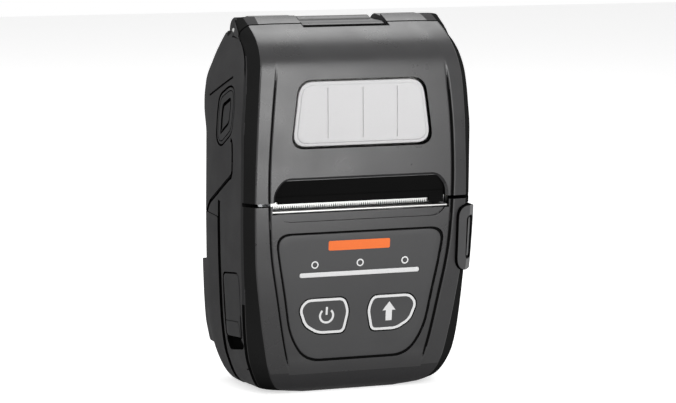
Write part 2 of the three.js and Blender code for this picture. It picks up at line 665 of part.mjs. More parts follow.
// Cover: the upper front with its chamfered corners, thickened around the finger scoop over the slot
const windowShares = bothSides([[0.535, 0.669], [0.602, 0.32]]);
const windowOutline = upperFace(windowShares);
const windowCorner = 5;
const windowSet = 0.2;
const scoopShares = bothSides([[0.655, 0.1485], [0.775, -0.0333]]);
const scoopDepth = 3.6;
const scoopTop = 0.7;
const scoopWall = 2;
const scoopCorner = 4;
const scoopRise = 9.2;
const scoopHeight = slotHeight + scoopRise;
const coverSet = 5;
const coverTopY = hingeY - coverSet;
const coverReach = cut(
  prismX(coverSide(0, coverFoot), acrossX),
  block(acrossX, [coverTopY, bodyDepth], [slotHeight, bodyHeight + cutOverrun]),
);
const scoopOutline = upperFace(scoopShares);
const scoopBacking = layer(rootSet, scoopDepth + scoopWall).intersect(
  facePrism(grown(scoopOutline, scoopWall)).intersect(
    block(acrossX, [-bodyDepth, 0], [coverFoot, scoopHeight + scoopWall]),
  ),
);
const scoopFace = frontY(slotHeight);
const scoopRamp = prismX(
  [
    [-bodyDepth, coverFoot - slotGap], [scoopFace + scoopDepth, coverFoot - slotGap],
    [scoopFace + scoopTop, scoopHeight], [-bodyDepth, scoopHeight],
  ],
  acrossX,
);
const scoop = facePrism(rounded(scoopOutline, scoopCorner)).intersect(scoopRamp);
const knuckleArmShares = [[-2.8, -0.3], [0, -1], [0, 1], [-0.98, 0.94], [-2.8, 0.42]];
const knuckles = [-1, 1].map((side) => {
  const span = mirrorRange(knuckleHalf, side);
  const armOutline = aboutPoint(hingeY, hingeZ, knuckleRadius, knuckleArmShares);
  const arm = prismX(armOutline, span).intersect(form(rootSet));
  return join(rod(knuckleRadius, span, hingeY, hingeZ), arm);
});
const recessDrop = 8;
const recess = block([-knuckleHalf[0], knuckleHalf[0]], [recessFront, bodyDepth], [
  hingeZ - recessDrop, bodyHeight + cutOverrun,
]);
const tearThickness = 0.8;
const tearY = scoopFace + scoopDepth + fitGap;
const tearRise = 4;
const tearDrop = 1.3;
const tearMargin = 1.65;
const tearTop = slotHeight + tearRise;
const tearFoot = slotHeight - tearDrop;
const tearHalf = rollWidth / 2 + tearMargin;
const toothPitch = 1.2;
const toothHeight = 1;
const tearSlot = block(
  [-tearHalf - fitGap, tearHalf + fitGap], [tearY - fitGap, tearY + tearThickness + fitGap],
  [coverFoot - slotGap, tearTop + fitGap],
);
const coverShell = cut(
  join(shell.intersect(coverReach), scoopBacking, ...knuckles),
  recess,
  scoop,
  tearSlot,
  facePrism(rounded(grown(windowOutline, seamGap), windowCorner)),
  hingeBore,
);
addSolid("cover_shell", coverShell, "shell");

// Window: a frosted pane with three upright grooves in its face
const paneLayer = layer(windowSet, shellWall).intersect(facePrism(rounded(windowOutline, windowCorner)));
const paneGrooveX = 12;
const paneGrooveWidth = 0.6;
const paneGrooveDepth = 0.5;
const paneGrooveEnds = 2.6;
const paneGrooves = [-1, 0, 1].map((i) => {
  const x = i * paneGrooveX;
  const z = [windowOutline[1][1] + paneGrooveEnds, windowOutline[0][1] - paneGrooveEnds];
  return facePrism(rectangle([x - paneGrooveWidth / 2, x + paneGrooveWidth / 2], z)).subtract(
    form(windowSet + paneGrooveDepth),
  );
});
addSolid("window_pane", cut(paneLayer, ...paneGrooves), "window");

// Serrated tear bar, let into the foot of the cover, with its teeth down
const toothCount = Math.floor((2 * tearHalf) / toothPitch);
const toothLine = Array.from({ length: toothCount + 1 }, (_, i) => {
  const x = -tearHalf + (i * 2 * tearHalf) / toothCount;
  const rise = [[x, tearFoot + toothHeight]];
  return i < toothCount ? [...rise, [x + tearHalf / toothCount, tearFoot]] : rise;
}).flat();
addSolid(
  "tear_bar",
  prismY([...toothLine, [tearHalf, tearTop], [-tearHalf, tearTop]], [tearY, tearY + tearThickness]),
  "steel",
);

// Platen holder: a cross plate behind the cover with an arm at each end of the roller
const holderRise = 12;
const holderHeight = 5.5;
const holderThickness = 1.7;
const holderBrow = 4.7;
const armRoom = 0.55;
const armThickness = 1.6;
const armHalf = 3;
const armInner = rollWidth / 2 + armRoom;
const armOuter = armInner + armThickness;
const holderTop = platenZ + holderRise;
const holderFoot = holderTop - holderHeight;
const holderY = scoopFace + shellWall + fitGap;
const holderSide = [
  [holderY, holderTop], [holderY, holderFoot], [platenY - armHalf, platenZ - armHalf],
  [platenY + armHalf, platenZ - armHalf], [platenY + armHalf, platenZ + armHalf],
  [holderY + holderBrow, holderTop],
];
const shaftRadius = 1.5;
const shaftBore = rod(shaftRadius + fitGap, acrossX, platenY, platenZ, 20);
const holderSpanY = [holderY, holderY + holderThickness];
const holderPlate = block([-armOuter, armOuter], holderSpanY, [holderFoot, holderTop]);
const holderArms = [-1, 1].map((side) => prismX(holderSide, mirrorRange([armInner, armOuter], side)));
addSolid("platen_holder", join(holderPlate.subtract(scoopBacking), ...holderArms).intersect(
  form(shellWall + fitGap)).subtract(shaftBore), "dark");

// Bushes on the shaft, which drop into the cradles of the mechanism frame
const frameThickness = 1.6;
const frameSideX = [armOuter + fitGap, armOuter + fitGap + frameThickness];
const bushRadius = 2.8;
[["left", -1], ["right", 1]].forEach(([name, side]) => {
  const span = mirrorRange(frameSideX, side);
  addSolid(`platen_bush_${name}`, rod(bushRadius, span, platenY, platenZ, 20).subtract(shaftBore), "nylon");
});

// Gears with involute flanks, and backlash so that they run free
const pressureAngle = (20 * Math.PI) / 180;
const backlash = 0.16;
const hookThickness = 0.6;
const gearWidth = 1.8;
const hookX = [frameSideX[1] + fitGap, frameSideX[1] + fitGap + hookThickness];
const gearX = [hookX[1] + fitGap, hookX[1] + fitGap + gearWidth];
const gearPoints = (teeth, phase) => {
  const pitch = (teeth * gearModule) / 2;
  const base = pitch * Math.cos(pressureAngle);
  const tip = pitch + gearModule * 0.9;
  const root = pitch - gearModule * 1.25;
  const involute = (angle) => Math.tan(angle) - angle;
  const halfTooth = turn / 4 / teeth - backlash / 2 / pitch;
  const flank = [Math.max(base, root), pitch, tip].map((radius) => {
    const away = involute(pressureAngle) - involute(Math.acos(Math.min(base / radius, 1)));
    return [radius, halfTooth + away];
  });
  const rise = [[root, flank[0][1] * 1.06], ...flank];
  const outline = [];
  for (let i = 0; i < teeth; i += 1) {
    const middle = phase + (i * turn) / teeth;
    rise.forEach(([radius, away]) => outline.push([radius, middle - away]));
    [...rise].reverse().forEach(([radius, away]) => outline.push([radius, middle + away]));
  }
  return outline.map(([radius, angle]) => [radius * Math.cos(angle), radius * Math.sin(angle)]);
};
const gearBody = (teeth, phase, bore) => {
  const shape = shapeOf(gearPoints(teeth, phase));
  const depth = gearX[1] - gearX[0];
  if (bore > 0) shape.holes.push(new THREE.Path().absarc(0, 0, bore, 0, turn, true));
  return new THREE.ExtrudeGeometry(shape, { depth, bevelEnabled: false, curveSegments: 12 })
    .applyMatrix4(alongX)
    .translate(gearX[0], 0, 0);
};
const platenPhase = -departure;
const idlerPhase = -departure + turn / 2 + turn / 2 / idlerTeeth;
const lag = (pinionSlant - idlerPhase) % (turn / idlerTeeth);
const pinionPhase = pinionSlant + turn / 2 + (lag * idlerTeeth) / pinionTeeth + turn / 2 / pinionTeeth;

// Platen: a steel shaft with its rubber roller and its gear
const shaftProud = 0.6;
const shaftHalf = gearX[1] + shaftProud;
const rubberMargin = 0.05;
const rubberHalf = rollWidth / 2 - rubberMargin;
const shaftRod = new THREE.CylinderGeometry(shaftRadius, shaftRadius, 2 * shaftHalf, 20);
const shaft = addMesh("platen_shaft", shaftRod.rotateZ(turn / 4), "steel");
shaft.position.set(0, platenY, platenZ);
const roller = rod(platenRadius, [-rubberHalf, rubberHalf], 0, 0, 24);
const rollerBore = rod(shaftRadius + pressGap, acrossX, 0, 0, 20);
addSolid("platen_rubber", roller.subtract(rollerBore), "rubber").position.set(0, platenY, platenZ);
addMesh("platen_gear", gearBody(platenTeeth, platenPhase, shaftRadius + pressGap), "nylon").position.set(
  0, platenY, platenZ,
);
const axleRadius = 1.2;
addMesh("idler_gear", gearBody(idlerTeeth, idlerPhase, axleRadius + fitGap / 2), "nylon").position.set(
  0, idlerY, idlerZ,
);
const motorShaftRadius = 1;
const pinionGear = solid(gearBody(pinionTeeth, pinionPhase, 0));
const rotorShaft = rod(motorShaftRadius, [frameSideX[0] - pressGap, gearX[0] + gearWidth / 2], 0, 0, 16);
addSolid("motor_pinion", join(pinionGear, rotorShaft), "brass").position.set(0, pinionY, pinionZ);

// Mechanism frame: a bent plate with a cradle for each bush, feet for the shelves, and the axle holes
const frameBackThickness = 1.1;
const frameBackY = [bayWallY[0] - fitGap - frameBackThickness, bayWallY[0] - fitGap];
const trayThickness = 1.2;
const trayInner = rollRadius + seamGap;
const trayRoom = 0.8;
const frameTop = rollZ - trayInner - trayThickness - trayRoom;
const cheekBrow = 3.6;
const cheekFront = 2.1;
const cheekHeel = 2.5;
const cheekSlope = 10;
const cradleRadius = bushRadius + fitGap;
const frameCheek = [
  [platenY, platenZ + cheekBrow], [frameBackY[1], frameTop], [frameBackY[1], frameFoot],
  [platenY + cheekHeel, frameFoot], [platenY - cheekFront, platenZ - cheekSlope],
  [platenY - cheekFront, platenZ - cheekBrow], [platenY, platenZ - cheekBrow],
];
const cradle = join(
  rod(cradleRadius, acrossX, platenY, platenZ, 32),
  block(acrossX, [-bodyDepth, platenY], [platenZ - cradleRadius, platenZ + cradleRadius * 2]),
);
const axleHole = rod(axleRadius + pressGap, [0, bodyWidth], idlerY, idlerZ, 16);
const shaftHole = rod(motorShaftRadius + fitGap, [0, bodyWidth], pinionY, pinionZ, 16);
const latchSet = 1.1;
const latchY = platenY + latchSet;
const hookReach = 15;
const hookDrop = 2.5;
const latchZ = platenZ - hookDrop - hookReach;
const latchPinRadius = 1;
const latchHole = rod(latchPinRadius + pressGap, [0, bodyWidth], latchY, latchZ, 16);
const frameCheeks = [-1, 1].map((side) => prismX(frameCheek, mirrorRange(frameSideX, side)));
const frameBack = block([-frameSideX[1], frameSideX[1]], frameBackY, [frameFoot, frameTop]);
const footThickness = 1.4;
const footRoom = 1.4;
const frameFeet = [-1, 1].map((side) =>
  block(mirrorRange([frameSideX[0], half - shellWall - footRoom], side), [feetFrontY, frameBackY[1]], [
    frameFoot, frameFoot + footThickness,
  ]),
);
addSolid(
  "mechanism_frame",
  cut(join(...frameCheeks, frameBack, ...frameFeet), cradle, axleHole, shaftHole, latchHole),
  "aluminium",
);
const axleX = [frameSideX[0] - shaftProud, gearX[1] + shaftProud];
const axleRod = new THREE.CylinderGeometry(axleRadius, axleRadius, axleX[1] - axleX[0], 16);
const axle = addMesh("idler_axle", axleRod.rotateZ(turn / 4), "steel");
axle.position.set((axleX[0] + axleX[1]) / 2, idlerY, idlerZ);
const motorLength = 21;
const motorNose = 2;
const motorX = [frameSideX[0] - fitGap - motorLength, frameSideX[0] - fitGap];
const motorBore = rod(motorShaftRadius + fitGap, [motorX[1] - motorNose, bodyWidth], pinionY, pinionZ, 16);
addSolid("motor", rod(motorRadius, motorX, pinionY, pinionZ).subtract(motorBore), "steel");

// Print head: a ceramic strip on a heat sink that tilts about its foot, pressed forward by two springs
const headFace = platenY + platenRadius + fitGap;
const headMargin = 0.15;
const headHalf = rollWidth / 2 - headMargin;
const ceramicThickness = 0.8;
const sinkThickness = 1.5;
const sinkFlange = 2;
const headDrop = 5;
const headRise = 4.4;
const headLow = platenZ - headDrop;
const headHigh = platenZ + headRise;
const sinkFront = headFace + ceramicThickness;
const sinkBack = sinkFront + fitGap + sinkThickness;
const flangeHalf = headHalf + sinkFlange;
addSolid(
  "heat_sink",
  join(
    block([-headHalf, headHalf], [sinkFront + fitGap, sinkBack], [headLow, headHigh]),
    block([-flangeHalf, flangeHalf], [sinkFront + fitGap, sinkBack], [headLow, headLow + sinkFlange]),
  ),
  "aluminium",
);
addSolid("print_head", block([-headHalf, headHalf], [headFace, sinkFront], [headLow, headHigh]), "ceramic");
const springRadius = 1.7;
const springWire = 0.3;
const springTurns = 3;
const springSteps = 8;
const springX = 18;
const springRise = 1;
const springRoom = 0.9;
const springZ = platenZ + springRise;
const springSpan = [sinkBack + springWire + fitGap, frameBackY[0] - springWire - springRoom];
const springWireShape = new THREE.Shape(
  Array.from({ length: 5 }, (_, i) => {
    const angle = (i / 5) * turn;
    return new THREE.Vector2(springWire * Math.cos(angle), springWire * Math.sin(angle));
  }),
);
class Helix extends THREE.Curve {
  getPoint(share, target = new THREE.Vector3()) {
    const angle = share * springTurns * turn;
    const along = (springSpan[1] - springSpan[0]) * share;
    return target.set(springRadius * Math.cos(angle), along, springRadius * Math.sin(angle));
  }
}
[["left", -1], ["right", 1]].forEach(([name, side]) => {
  const wound = new THREE.ExtrudeGeometry(springWireShape, {
    steps: springTurns * springSteps, extrudePath: new Helix(), bevelEnabled: false,
  });
  addMesh(`head_spring_${name}`, wound, "steel").position.set(side * springX, springSpan[0], springZ);
});

// Latch hook at the right end of the shaft, on a pin in the frame
const hookShares = [
  [-0.133, -0.16], [0.133, -0.16], [0.133, 0.2], [-0.173, 0.833], [-0.227, 1], [-0.347, 0.96],
  [-0.307, 0.767],
];
const latchBore = rod(latchPinRadius + fitGap / 2, acrossX, latchY, latchZ, 16);
const hookBody = prismX(aboutPoint(latchY, latchZ, hookReach, hookShares), hookX).subtract(latchBore);
addSolid("latch_hook", hookBody, "steel");
const latchPinX = [frameSideX[0] - fitGap, hookX[1] + fitGap];
const latchPinLength = latchPinX[1] - latchPinX[0];
const latchPinRod = new THREE.CylinderGeometry(latchPinRadius, latchPinRadius, latchPinLength, 16);
const latchPin = addMesh("latch_pin", latchPinRod.rotateZ(turn / 4), "steel");
latchPin.position.set((latchPinX[0] + latchPinX[1]) / 2, latchY, latchZ);

// Bay wall between the works and the battery, with the contact block let into it
const contactHalf = 7;
const contactFoot = 10;
const contactHeight = 5;
const contactTail = 1;
const contactProud = 0.6;
const wallRise = 3.2;
const contactZ = [contactFoot, contactFoot + contactHeight];
const contactRoomZ = [contactZ[0] - fitGap, contactZ[1] + fitGap];
const contactRoom = block([-contactHalf - fitGap, contactHalf + fitGap], [0, bodyDepth], contactRoomZ);
const inner = form(shellWall + fitGap);
const bayWall = block(acrossX, bayWallY, [shellWall + fitGap, packTop + wallRise]).intersect(inner);
addSolid("bay_wall", bayWall.subtract(contactRoom), "dark");
addSolid(
  "battery_contacts",
  block([-contactHalf, contactHalf], [bayWallY[0] - contactTail, bayWallY[1] + contactProud], contactZ),
  "brass",
);

// Roll tray under the paper roll, between the flanks
const trayHalf = half - shellWall - fitGap * 2;
const trayArc = [-104, -30].map((degrees) => (degrees * Math.PI) / 180);
const traySteps = 12;
const trayLine = (radius) =>
  Array.from({ length: traySteps + 1 }, (_, i) => {
    const angle = trayArc[0] + ((trayArc[1] - trayArc[0]) * i) / traySteps;
    return [rollY + radius * Math.cos(angle), rollZ + radius * Math.sin(angle)];
  });
const trayOutline = [...trayLine(trayInner + trayThickness), ...trayLine(trayInner).reverse()];
addSolid("roll_tray", prismX(trayOutline, [-trayHalf, trayHalf]).intersect(inner), "dark");

// Paper roll on its card core
const coreRadius = 7;
const coreBore = 5.6;
const rollRange = [-rollWidth / 2, rollWidth / 2];
const rollBody = rod(rollRadius, rollRange, 0, 0, 36).subtract(rod(coreRadius + fitGap / 2, acrossX, 0, 0));
addSolid("paper_roll", rollBody, "paper").position.set(0, rollY, rollZ);
const core = rod(coreRadius, rollRange, 0, 0).subtract(rod(coreBore, acrossX, 0, 0));
addSolid("roll_core", core, "card").position.set(0, rollY, rollZ);

// Battery pack: a case that makes the lower back of the printer, with a bump for its cells
const packFront = batteryParting + fitGap;
const packWall = 1.6;
const bumpShares = [[-2, 0.214], [0, 0.214], [1, 0.28], [1, 0.655], [0.5, 0.72], [-2, 0.72]];
const bumpOutline = bumpShares.map(([y, z]) => [bodyDepth / 2 + y * batteryBump, z * packTop]);
const packReach = (inset, front) => block(acrossX, [front, bodyDepth], [-cutOverrun, packTop - inset]);
const packOuter = join(outerForm, form(0, batteryBump).intersect(prismX(bumpOutline, acrossX)));
const packHollow = form(packWall).intersect(packReach(packWall, 0));
const pocketDrop = 2.2;
const pocketHeight = 6.8;
const pocketDepth = 1.2;
const catchDrop = 2.4;
const catchProud = 0.4;
const catchThickness = 0.9;
const latchPocketZ = [packTop - pocketDrop - pocketHeight, packTop - pocketDrop];
const latchPocketHalf = 7.4;
const packLatchPocket = prismY(
  rectangle([-latchPocketHalf, latchPocketHalf], latchPocketZ), [bodyDepth / 4, bodyDepth],
).subtract(form(pocketDepth));
addSolid(
  "battery_case", cut(packOuter.intersect(packReach(0, packFront)), packHollow, packLatchPocket), "shell",
);
const catchZ = [latchPocketZ[0] + catchDrop, latchPocketZ[1] - fitGap];
const catchOutline = rectangle([fitGap - latchPocketHalf, latchPocketHalf - fitGap], catchZ);
const packLatch = form(-catchProud)
  .subtract(form(catchThickness))
  .intersect(prismY(catchOutline, [bodyDepth / 4, bodyDepth]));
addSolid("battery_latch", packLatch, "dark");
const lidThickness = 1.2;
const packLid = form(packWall + fitGap).intersect(packReach(packWall + fitGap, packFront)).intersect(
  block(acrossX, [packFront, packFront + lidThickness], [0, bodyHeight]),
);
addSolid("battery_lid", packLid, "dark");
const cellSideRoom = 5.6;
const cellBackRoom = 3.4;
const cellFoot = 16.8;
const cellHeadroom = 4.3;
const cellX = [fitGap, half - cellSideRoom];
const cellY = [packFront + lidThickness + fitGap, bodyDepth / 2 - cellBackRoom];
const cellZ = [cellFoot, packTop - cellHeadroom];
const cellCorner = 3;
[["left", -1], ["right", 1]].forEach(([name, side]) => {
  const section = rounded(rectangle(cellY, cellZ), cellCorner, 3);
  addSolid(`battery_cell_${name}`, prismX(section, mirrorRange(cellX, side)), "cell");
});

export default printer;
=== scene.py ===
"""A portable receipt printer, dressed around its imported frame. Sizes are in millimetres until a mesh is made."""

from math import atan2, cos, fmod, pi, radians, sin, tan

import bpy
import bmesh
import numpy as np
from mathutils import Matrix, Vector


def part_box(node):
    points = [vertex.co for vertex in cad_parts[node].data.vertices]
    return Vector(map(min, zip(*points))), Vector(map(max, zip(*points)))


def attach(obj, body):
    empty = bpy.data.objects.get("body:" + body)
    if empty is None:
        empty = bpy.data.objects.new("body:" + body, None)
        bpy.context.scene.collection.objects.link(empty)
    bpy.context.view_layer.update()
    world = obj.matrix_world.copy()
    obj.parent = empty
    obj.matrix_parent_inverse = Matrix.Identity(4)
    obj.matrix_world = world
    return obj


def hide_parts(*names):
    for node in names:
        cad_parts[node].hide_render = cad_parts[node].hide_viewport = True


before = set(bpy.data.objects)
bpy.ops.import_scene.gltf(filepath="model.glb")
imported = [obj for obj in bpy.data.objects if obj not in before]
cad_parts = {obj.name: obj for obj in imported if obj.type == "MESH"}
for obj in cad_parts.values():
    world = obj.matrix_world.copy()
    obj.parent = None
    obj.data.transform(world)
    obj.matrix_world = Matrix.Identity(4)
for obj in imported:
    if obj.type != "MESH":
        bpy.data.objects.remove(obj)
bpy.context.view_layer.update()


# The studio: a white sweep, a big soft lamp overhead and behind, a nearer one in front that the front face
# mirrors, and two small ones on the left. The floor is greyer to the light that it throws back.
CAMERA_PLACE = (-0.3270, -0.8516, 0.2075)
CAMERA_RIGHT = (0.93422, -0.35648, 0.01241)
CAMERA_UP = (0.04500, 0.15231, 0.98731)
CAMERA_BACK = (-0.35385, -0.92181, 0.15833)
CAMERA_LENS = 147.55
SENSOR_WIDTH = 36.0

camera_data = bpy.data.cameras.new("camera")
camera_data.lens = CAMERA_LENS
camera_data.sensor_width = SENSOR_WIDTH
camera_data.clip_start = 0.01
camera = bpy.data.objects.new("camera", camera_data)
camera_turn = Matrix((CAMERA_RIGHT, CAMERA_UP, CAMERA_BACK)).transposed()
camera.matrix_world = Matrix.Translation(CAMERA_PLACE) @ camera_turn.to_4x4()
bpy.context.scene.collection.objects.link(camera)
bpy.context.scene.camera = camera
bpy.context.scene.view_settings.view_transform = "Standard"


def soft_lamp(name, place, target, size, power):
    """A rectangular area lamp at a place, turned so that its face looks at the target."""
    lamp_data = bpy.data.lights.new(name, "AREA")
    lamp_data.shape = "RECTANGLE"
    lamp_data.size, lamp_data.size_y = size
    lamp_data.energy = power
    lamp = bpy.data.objects.new(name, lamp_data)
    away = np.subtract(place, target)
    away = away / np.linalg.norm(away)
    across = np.cross((0.0, 0.0, 1.0), away)
    across = across / np.linalg.norm(across)
    lamp_turn = Matrix((across, np.cross(away, across), away)).transposed()
    lamp.matrix_world = Matrix.Translation(place) @ lamp_turn.to_4x4()
    bpy.context.scene.collection.objects.link(lamp)


MIDDLE = (0.0, 0.0, 0.06)
soft_lamp("overhead_lamp", (0.0, 0.34, 0.76), MIDDLE, (0.8, 0.46), 3.8)
soft_lamp("front_lamp", (0.05, -0.32, 0.185), (0.0, 0.0, 0.185), (0.16, 0.36), 1.15)
soft_lamp("left_lamp", (-0.60, 0.36, 0.16), MIDDLE, (0.10, 0.3), 0.12)
soft_lamp("corner_lamp", (-0.36, -0.30, 0.34), (-0.02, 0.0, 0.09), (0.12, 0.12), 0.5)


def fill(tree, shader, inputs):
    """Sets each named input of a node to a value, or links it from a socket."""
    for key, value in inputs.items():
        if isinstance(value, bpy.types.NodeSocket):
            tree.links.new(value, shader.inputs[key])
        else:
            shader.inputs[key].default_value = value


def add_node(tree, kind, inputs, **settings):
    """A new shader node of a kind, with its settings and its inputs."""
    made = tree.nodes.new("ShaderNode" + kind)
    for key, value in settings.items():
        setattr(made, key, value)
    fill(tree, made, inputs)
    return made


def background_rays(tree):
    """The rays from the camera, and those together with the rays that gloss, metal and glass send on."""
    rays = add_node(tree, "LightPath", {}).outputs
    sent_on = add_node(
        tree, "Math", {0: rays["Is Glossy Ray"], 1: rays["Is Transmission Ray"]}, operation="MAXIMUM")
    seen = add_node(tree, "Math", {0: rays["Is Camera Ray"], 1: sent_on.outputs[0]}, operation="MAXIMUM")
    return rays["Is Camera Ray"], seen.outputs[0]


WHITE = (1.0, 1.0, 1.0, 1.0)
world = bpy.data.worlds.new("white_studio")
bpy.context.scene.world = world
world.use_nodes = True
sky = world.node_tree
sky_strength = add_node(sky, "MapRange", {"Value": background_rays(sky)[1], "To Min": 0.30, "To Max": 1.0})
fill(sky, sky.nodes["Background"], {"Color": WHITE, "Strength": sky_strength.outputs["Result"]})


def new_finish(name):
    """A new material, its node tree and its surface shader."""
    finish = bpy.data.materials.new(name)
    finish.use_nodes = True
    return finish, finish.node_tree, finish.node_tree.nodes["Principled BSDF"]


def mixed(tree, share, first, second):
    """A mix of two plain colours, by a share from 0 to 1."""
    return add_node(tree, "Mix", {"Factor": share, "A": (*first, 1.0), "B": (*second, 1.0)}, data_type="RGBA")


def link_mesh(name, mesh):
    """Puts a mesh into the scene as an object at the origin."""
    piece = bpy.data.objects.new(name, mesh)
    bpy.context.scene.collection.objects.link(piece)
    return piece


FLOOR_HALF = 1.3
floor_mesh = bpy.data.meshes.new("floor")
floor_corners = [(x * FLOOR_HALF, y * FLOOR_HALF, 0.0) for x, y in ((-1, -1), (1, -1), (1, 1), (-1, 1))]
floor_mesh.from_pydata(floor_corners, [], [(0, 1, 2, 3)])
floor_finish, floor_tree, floor_paint = new_finish("white_sweep")
camera_rays, seen_rays = background_rays(floor_tree)
floor_tone = mixed(floor_tree, camera_rays, (0.30, 0.30, 0.30), (0.80, 0.80, 0.80))
floor_glow = add_node(floor_tree, "Math", {0: seen_rays, 1: 0.62}, operation="MULTIPLY")
fill(floor_tree, floor_paint, {
    "Roughness": 0.9, "Specular IOR Level": 0.1, "Emission Color": WHITE, "Base Color": floor_tone.outputs["Result"],
    "Emission Strength": floor_glow.outputs[0]})
floor_mesh.materials.append(floor_finish)
link_mesh("floor", floor_mesh)


# Front case: the lower front shell with its flanks, injection moulded in charcoal plastic with a fine spark
# texture. It is cut from the same body form as every other shell of the printer.
MM = 0.001
BODY_HEIGHT = 124.0
HALF_WIDTH = 40.0
BODY_DEPTH = 44.0
SHELL_WALL = 2.2
SLOT_HEIGHT = 64.0
SEAM_GAP = 0.4
FIT_GAP = 0.3
CHAMFER = 4.9
BACK_CORNER = 3.0
CREASE_STEP = 0.5
FACE_DROP = 0.5
FAR = 60.0


def curve_through(*pairs):
    """A smooth curve through (share, value) pairs: Hermite pieces with the harmonic mean of the neighbouring
    slopes at each pair, so the curve never overshoots a pair."""
    place, value = np.array(pairs).T
    slope = np.diff(value) / np.diff(place)
    product = slope[:-1] * slope[1:]
    total = slope[:-1] + slope[1:]
    middle = np.where(product > 0, 2 * product / np.where(product > 0, total, 1.0), 0.0)
    tilt = np.concatenate(([slope[0]], middle, [slope[-1]]))

    def curve(share):
        """The cubic between the two pairs on either side of a share."""
        share = np.clip(share, place[0], place[-1])
        i = np.clip(np.searchsorted(place, share, side="right") - 1, 0, len(place) - 2)
        step = place[i + 1] - place[i]
        s = (share - place[i]) / step
        rising = value[i + 1] * s * s * (3 - 2 * s) + tilt[i + 1] * step * s * s * (s - 1)
        return value[i] * (1 + 2 * s) * (1 - s) ** 2 + tilt[i] * step * s * (1 - s) ** 2 + rising

    return curve


front_share = curve_through(
    (0, 0.25), (0.016, 0.173), (0.04, 0.123), (0.065, 0.095), (0.1, 0.075), (0.2, 0.048), (0.35, 0.016),
    (0.525, 0), (0.707, 0.003), (0.78, 0.012), (0.842, 0.028), (0.868, 0.043), (0.888, 0.064), (0.904, 0.09),
    (0.918, 0.124), (0.933, 0.17), (0.948, 0.23), (0.962, 0.305), (0.978, 0.42), (0.99, 0.51), (1, 0.614))
back_share = curve_through(
    (0, 0.75), (0.01, 0.82), (0.032, 0.886), (0.073, 0.943), (0.12, 0.977), (0.16, 1), (0.67, 1), (0.742, 1.05),
    (0.81, 1.05), (0.871, 0.977), (0.913, 0.9), (0.956, 0.795), (0.988, 0.716), (1, 0.636))
face_share = curve_through(
    (0, 0.42), (0.01, 0.6), (0.027, 0.68), (0.063, 0.745), (0.09, 0.77), (0.145, 0.805), (0.22, 0.845),
    (0.38, 0.905), (0.525, 0.917), (0.707, 0.9025), (0.78, 0.89), (0.842, 0.876), (0.885, 0.858),
    (0.943, 0.836), (1, 0.82))
side_share = curve_through(
    (0, 0.65), (0.01, 0.745), (0.027, 0.81), (0.063, 0.873), (0.105, 0.92), (0.166, 0.949), (0.234, 0.966),
    (0.3, 0.9763), (0.363, 0.988), (0.5, 1), (0.7, 1), (0.77, 0.985), (0.85, 0.965), (0.9, 0.94),
    (0.948, 0.916), (1, 0.9))
rear_share = curve_through(
    (0, 0.76), (0.01, 0.82), (0.027, 0.86), (0.063, 0.905), (0.105, 0.94), (0.166, 0.965), (0.234, 0.98),
    (0.363, 0.995), (0.5, 1), (0.76, 1), (0.806, 0.9875), (0.883, 0.9425), (0.917, 0.92), (0.946, 0.9),
    (0.978, 0.87), (1, 0.85))
chamfer_share = curve_through(
    (0, 1), (0.78, 1), (0.85, 1.1), (0.9, 1.22), (0.93, 1.45), (0.945, 1.75), (1, 1.75))
crease_share = curve_through(
    (0, 0.4), (0.01, 0.5), (0.093, 0.6), (0.25, 0.7), (0.42, 0.782), (0.565, 0.8), (0.9, 0.725), (1, 0.6))
step_share = curve_through((0, 0), (0.06, 0), (0.12, 1), (0.8, 1), (0.895, 0), (1, 0))


def level_y(share):
    """A share of the depth as a place from front to back."""
    return (share - 0.5) * BODY_DEPTH


def front_y(z):
    """The front face's middle line: its depth at a height."""
    return level_y(front_share(z / BODY_HEIGHT))


def reach_in(size, z, inset):
    """A height-dependent size moved in by an inset: the least over the heights within reach, on a diamond."""
    steps = np.linspace(-1, 1, 5)[:, None]
    reach = abs(inset)
    level = np.clip(z + steps * reach, 0, BODY_HEIGHT)
    values = size(level / BODY_HEIGHT) - np.sign(inset) * reach * (1 - abs(steps))
    return values.min(axis=0) if inset >= 0 else values.max(axis=0)


def bezier_corner(before, corner, after, radius, count):
    """A corner rounded by a quadratic curve that leaves and meets its sides at the radius."""
    def towards(point):
        """The corner moved towards a neighbour by the radius, or by just under half the side."""
        away = point - corner
        length = np.linalg.norm(away, axis=-1, keepdims=True)
        return corner + away / length * np.minimum(radius, 0.48 * length)

    t = np.linspace(0, 1, count)[:, None, None]
    return (1 - t) ** 2 * towards(before) + 2 * t * (1 - t) * corner + t ** 2 * towards(after)


def crisp_corner(before, corner, after, radius, count):
    """A rounded corner, or a flat bevel for two points, held crisp by a point just outside each of its ends."""
    near = bezier_corner(before, corner, after, radius, count)
    wide = bezier_corner(before, corner, after, radius + 0.14, 2)
    return np.concatenate([wide[:1], near, wide[1:]])


def straight(start, end, count):
    """Points spaced evenly between two ends, without the ends."""
    t = np.linspace(0, 1, count + 2)[1:-1, None, None]
    return start + (end - start) * t


def crease_rise(across):
    """The step at the crease as a share: one inside it and nothing outside, eased by a hyperbolic tangent."""
    return 0.5 * (1 - np.tanh(across * 4.0))


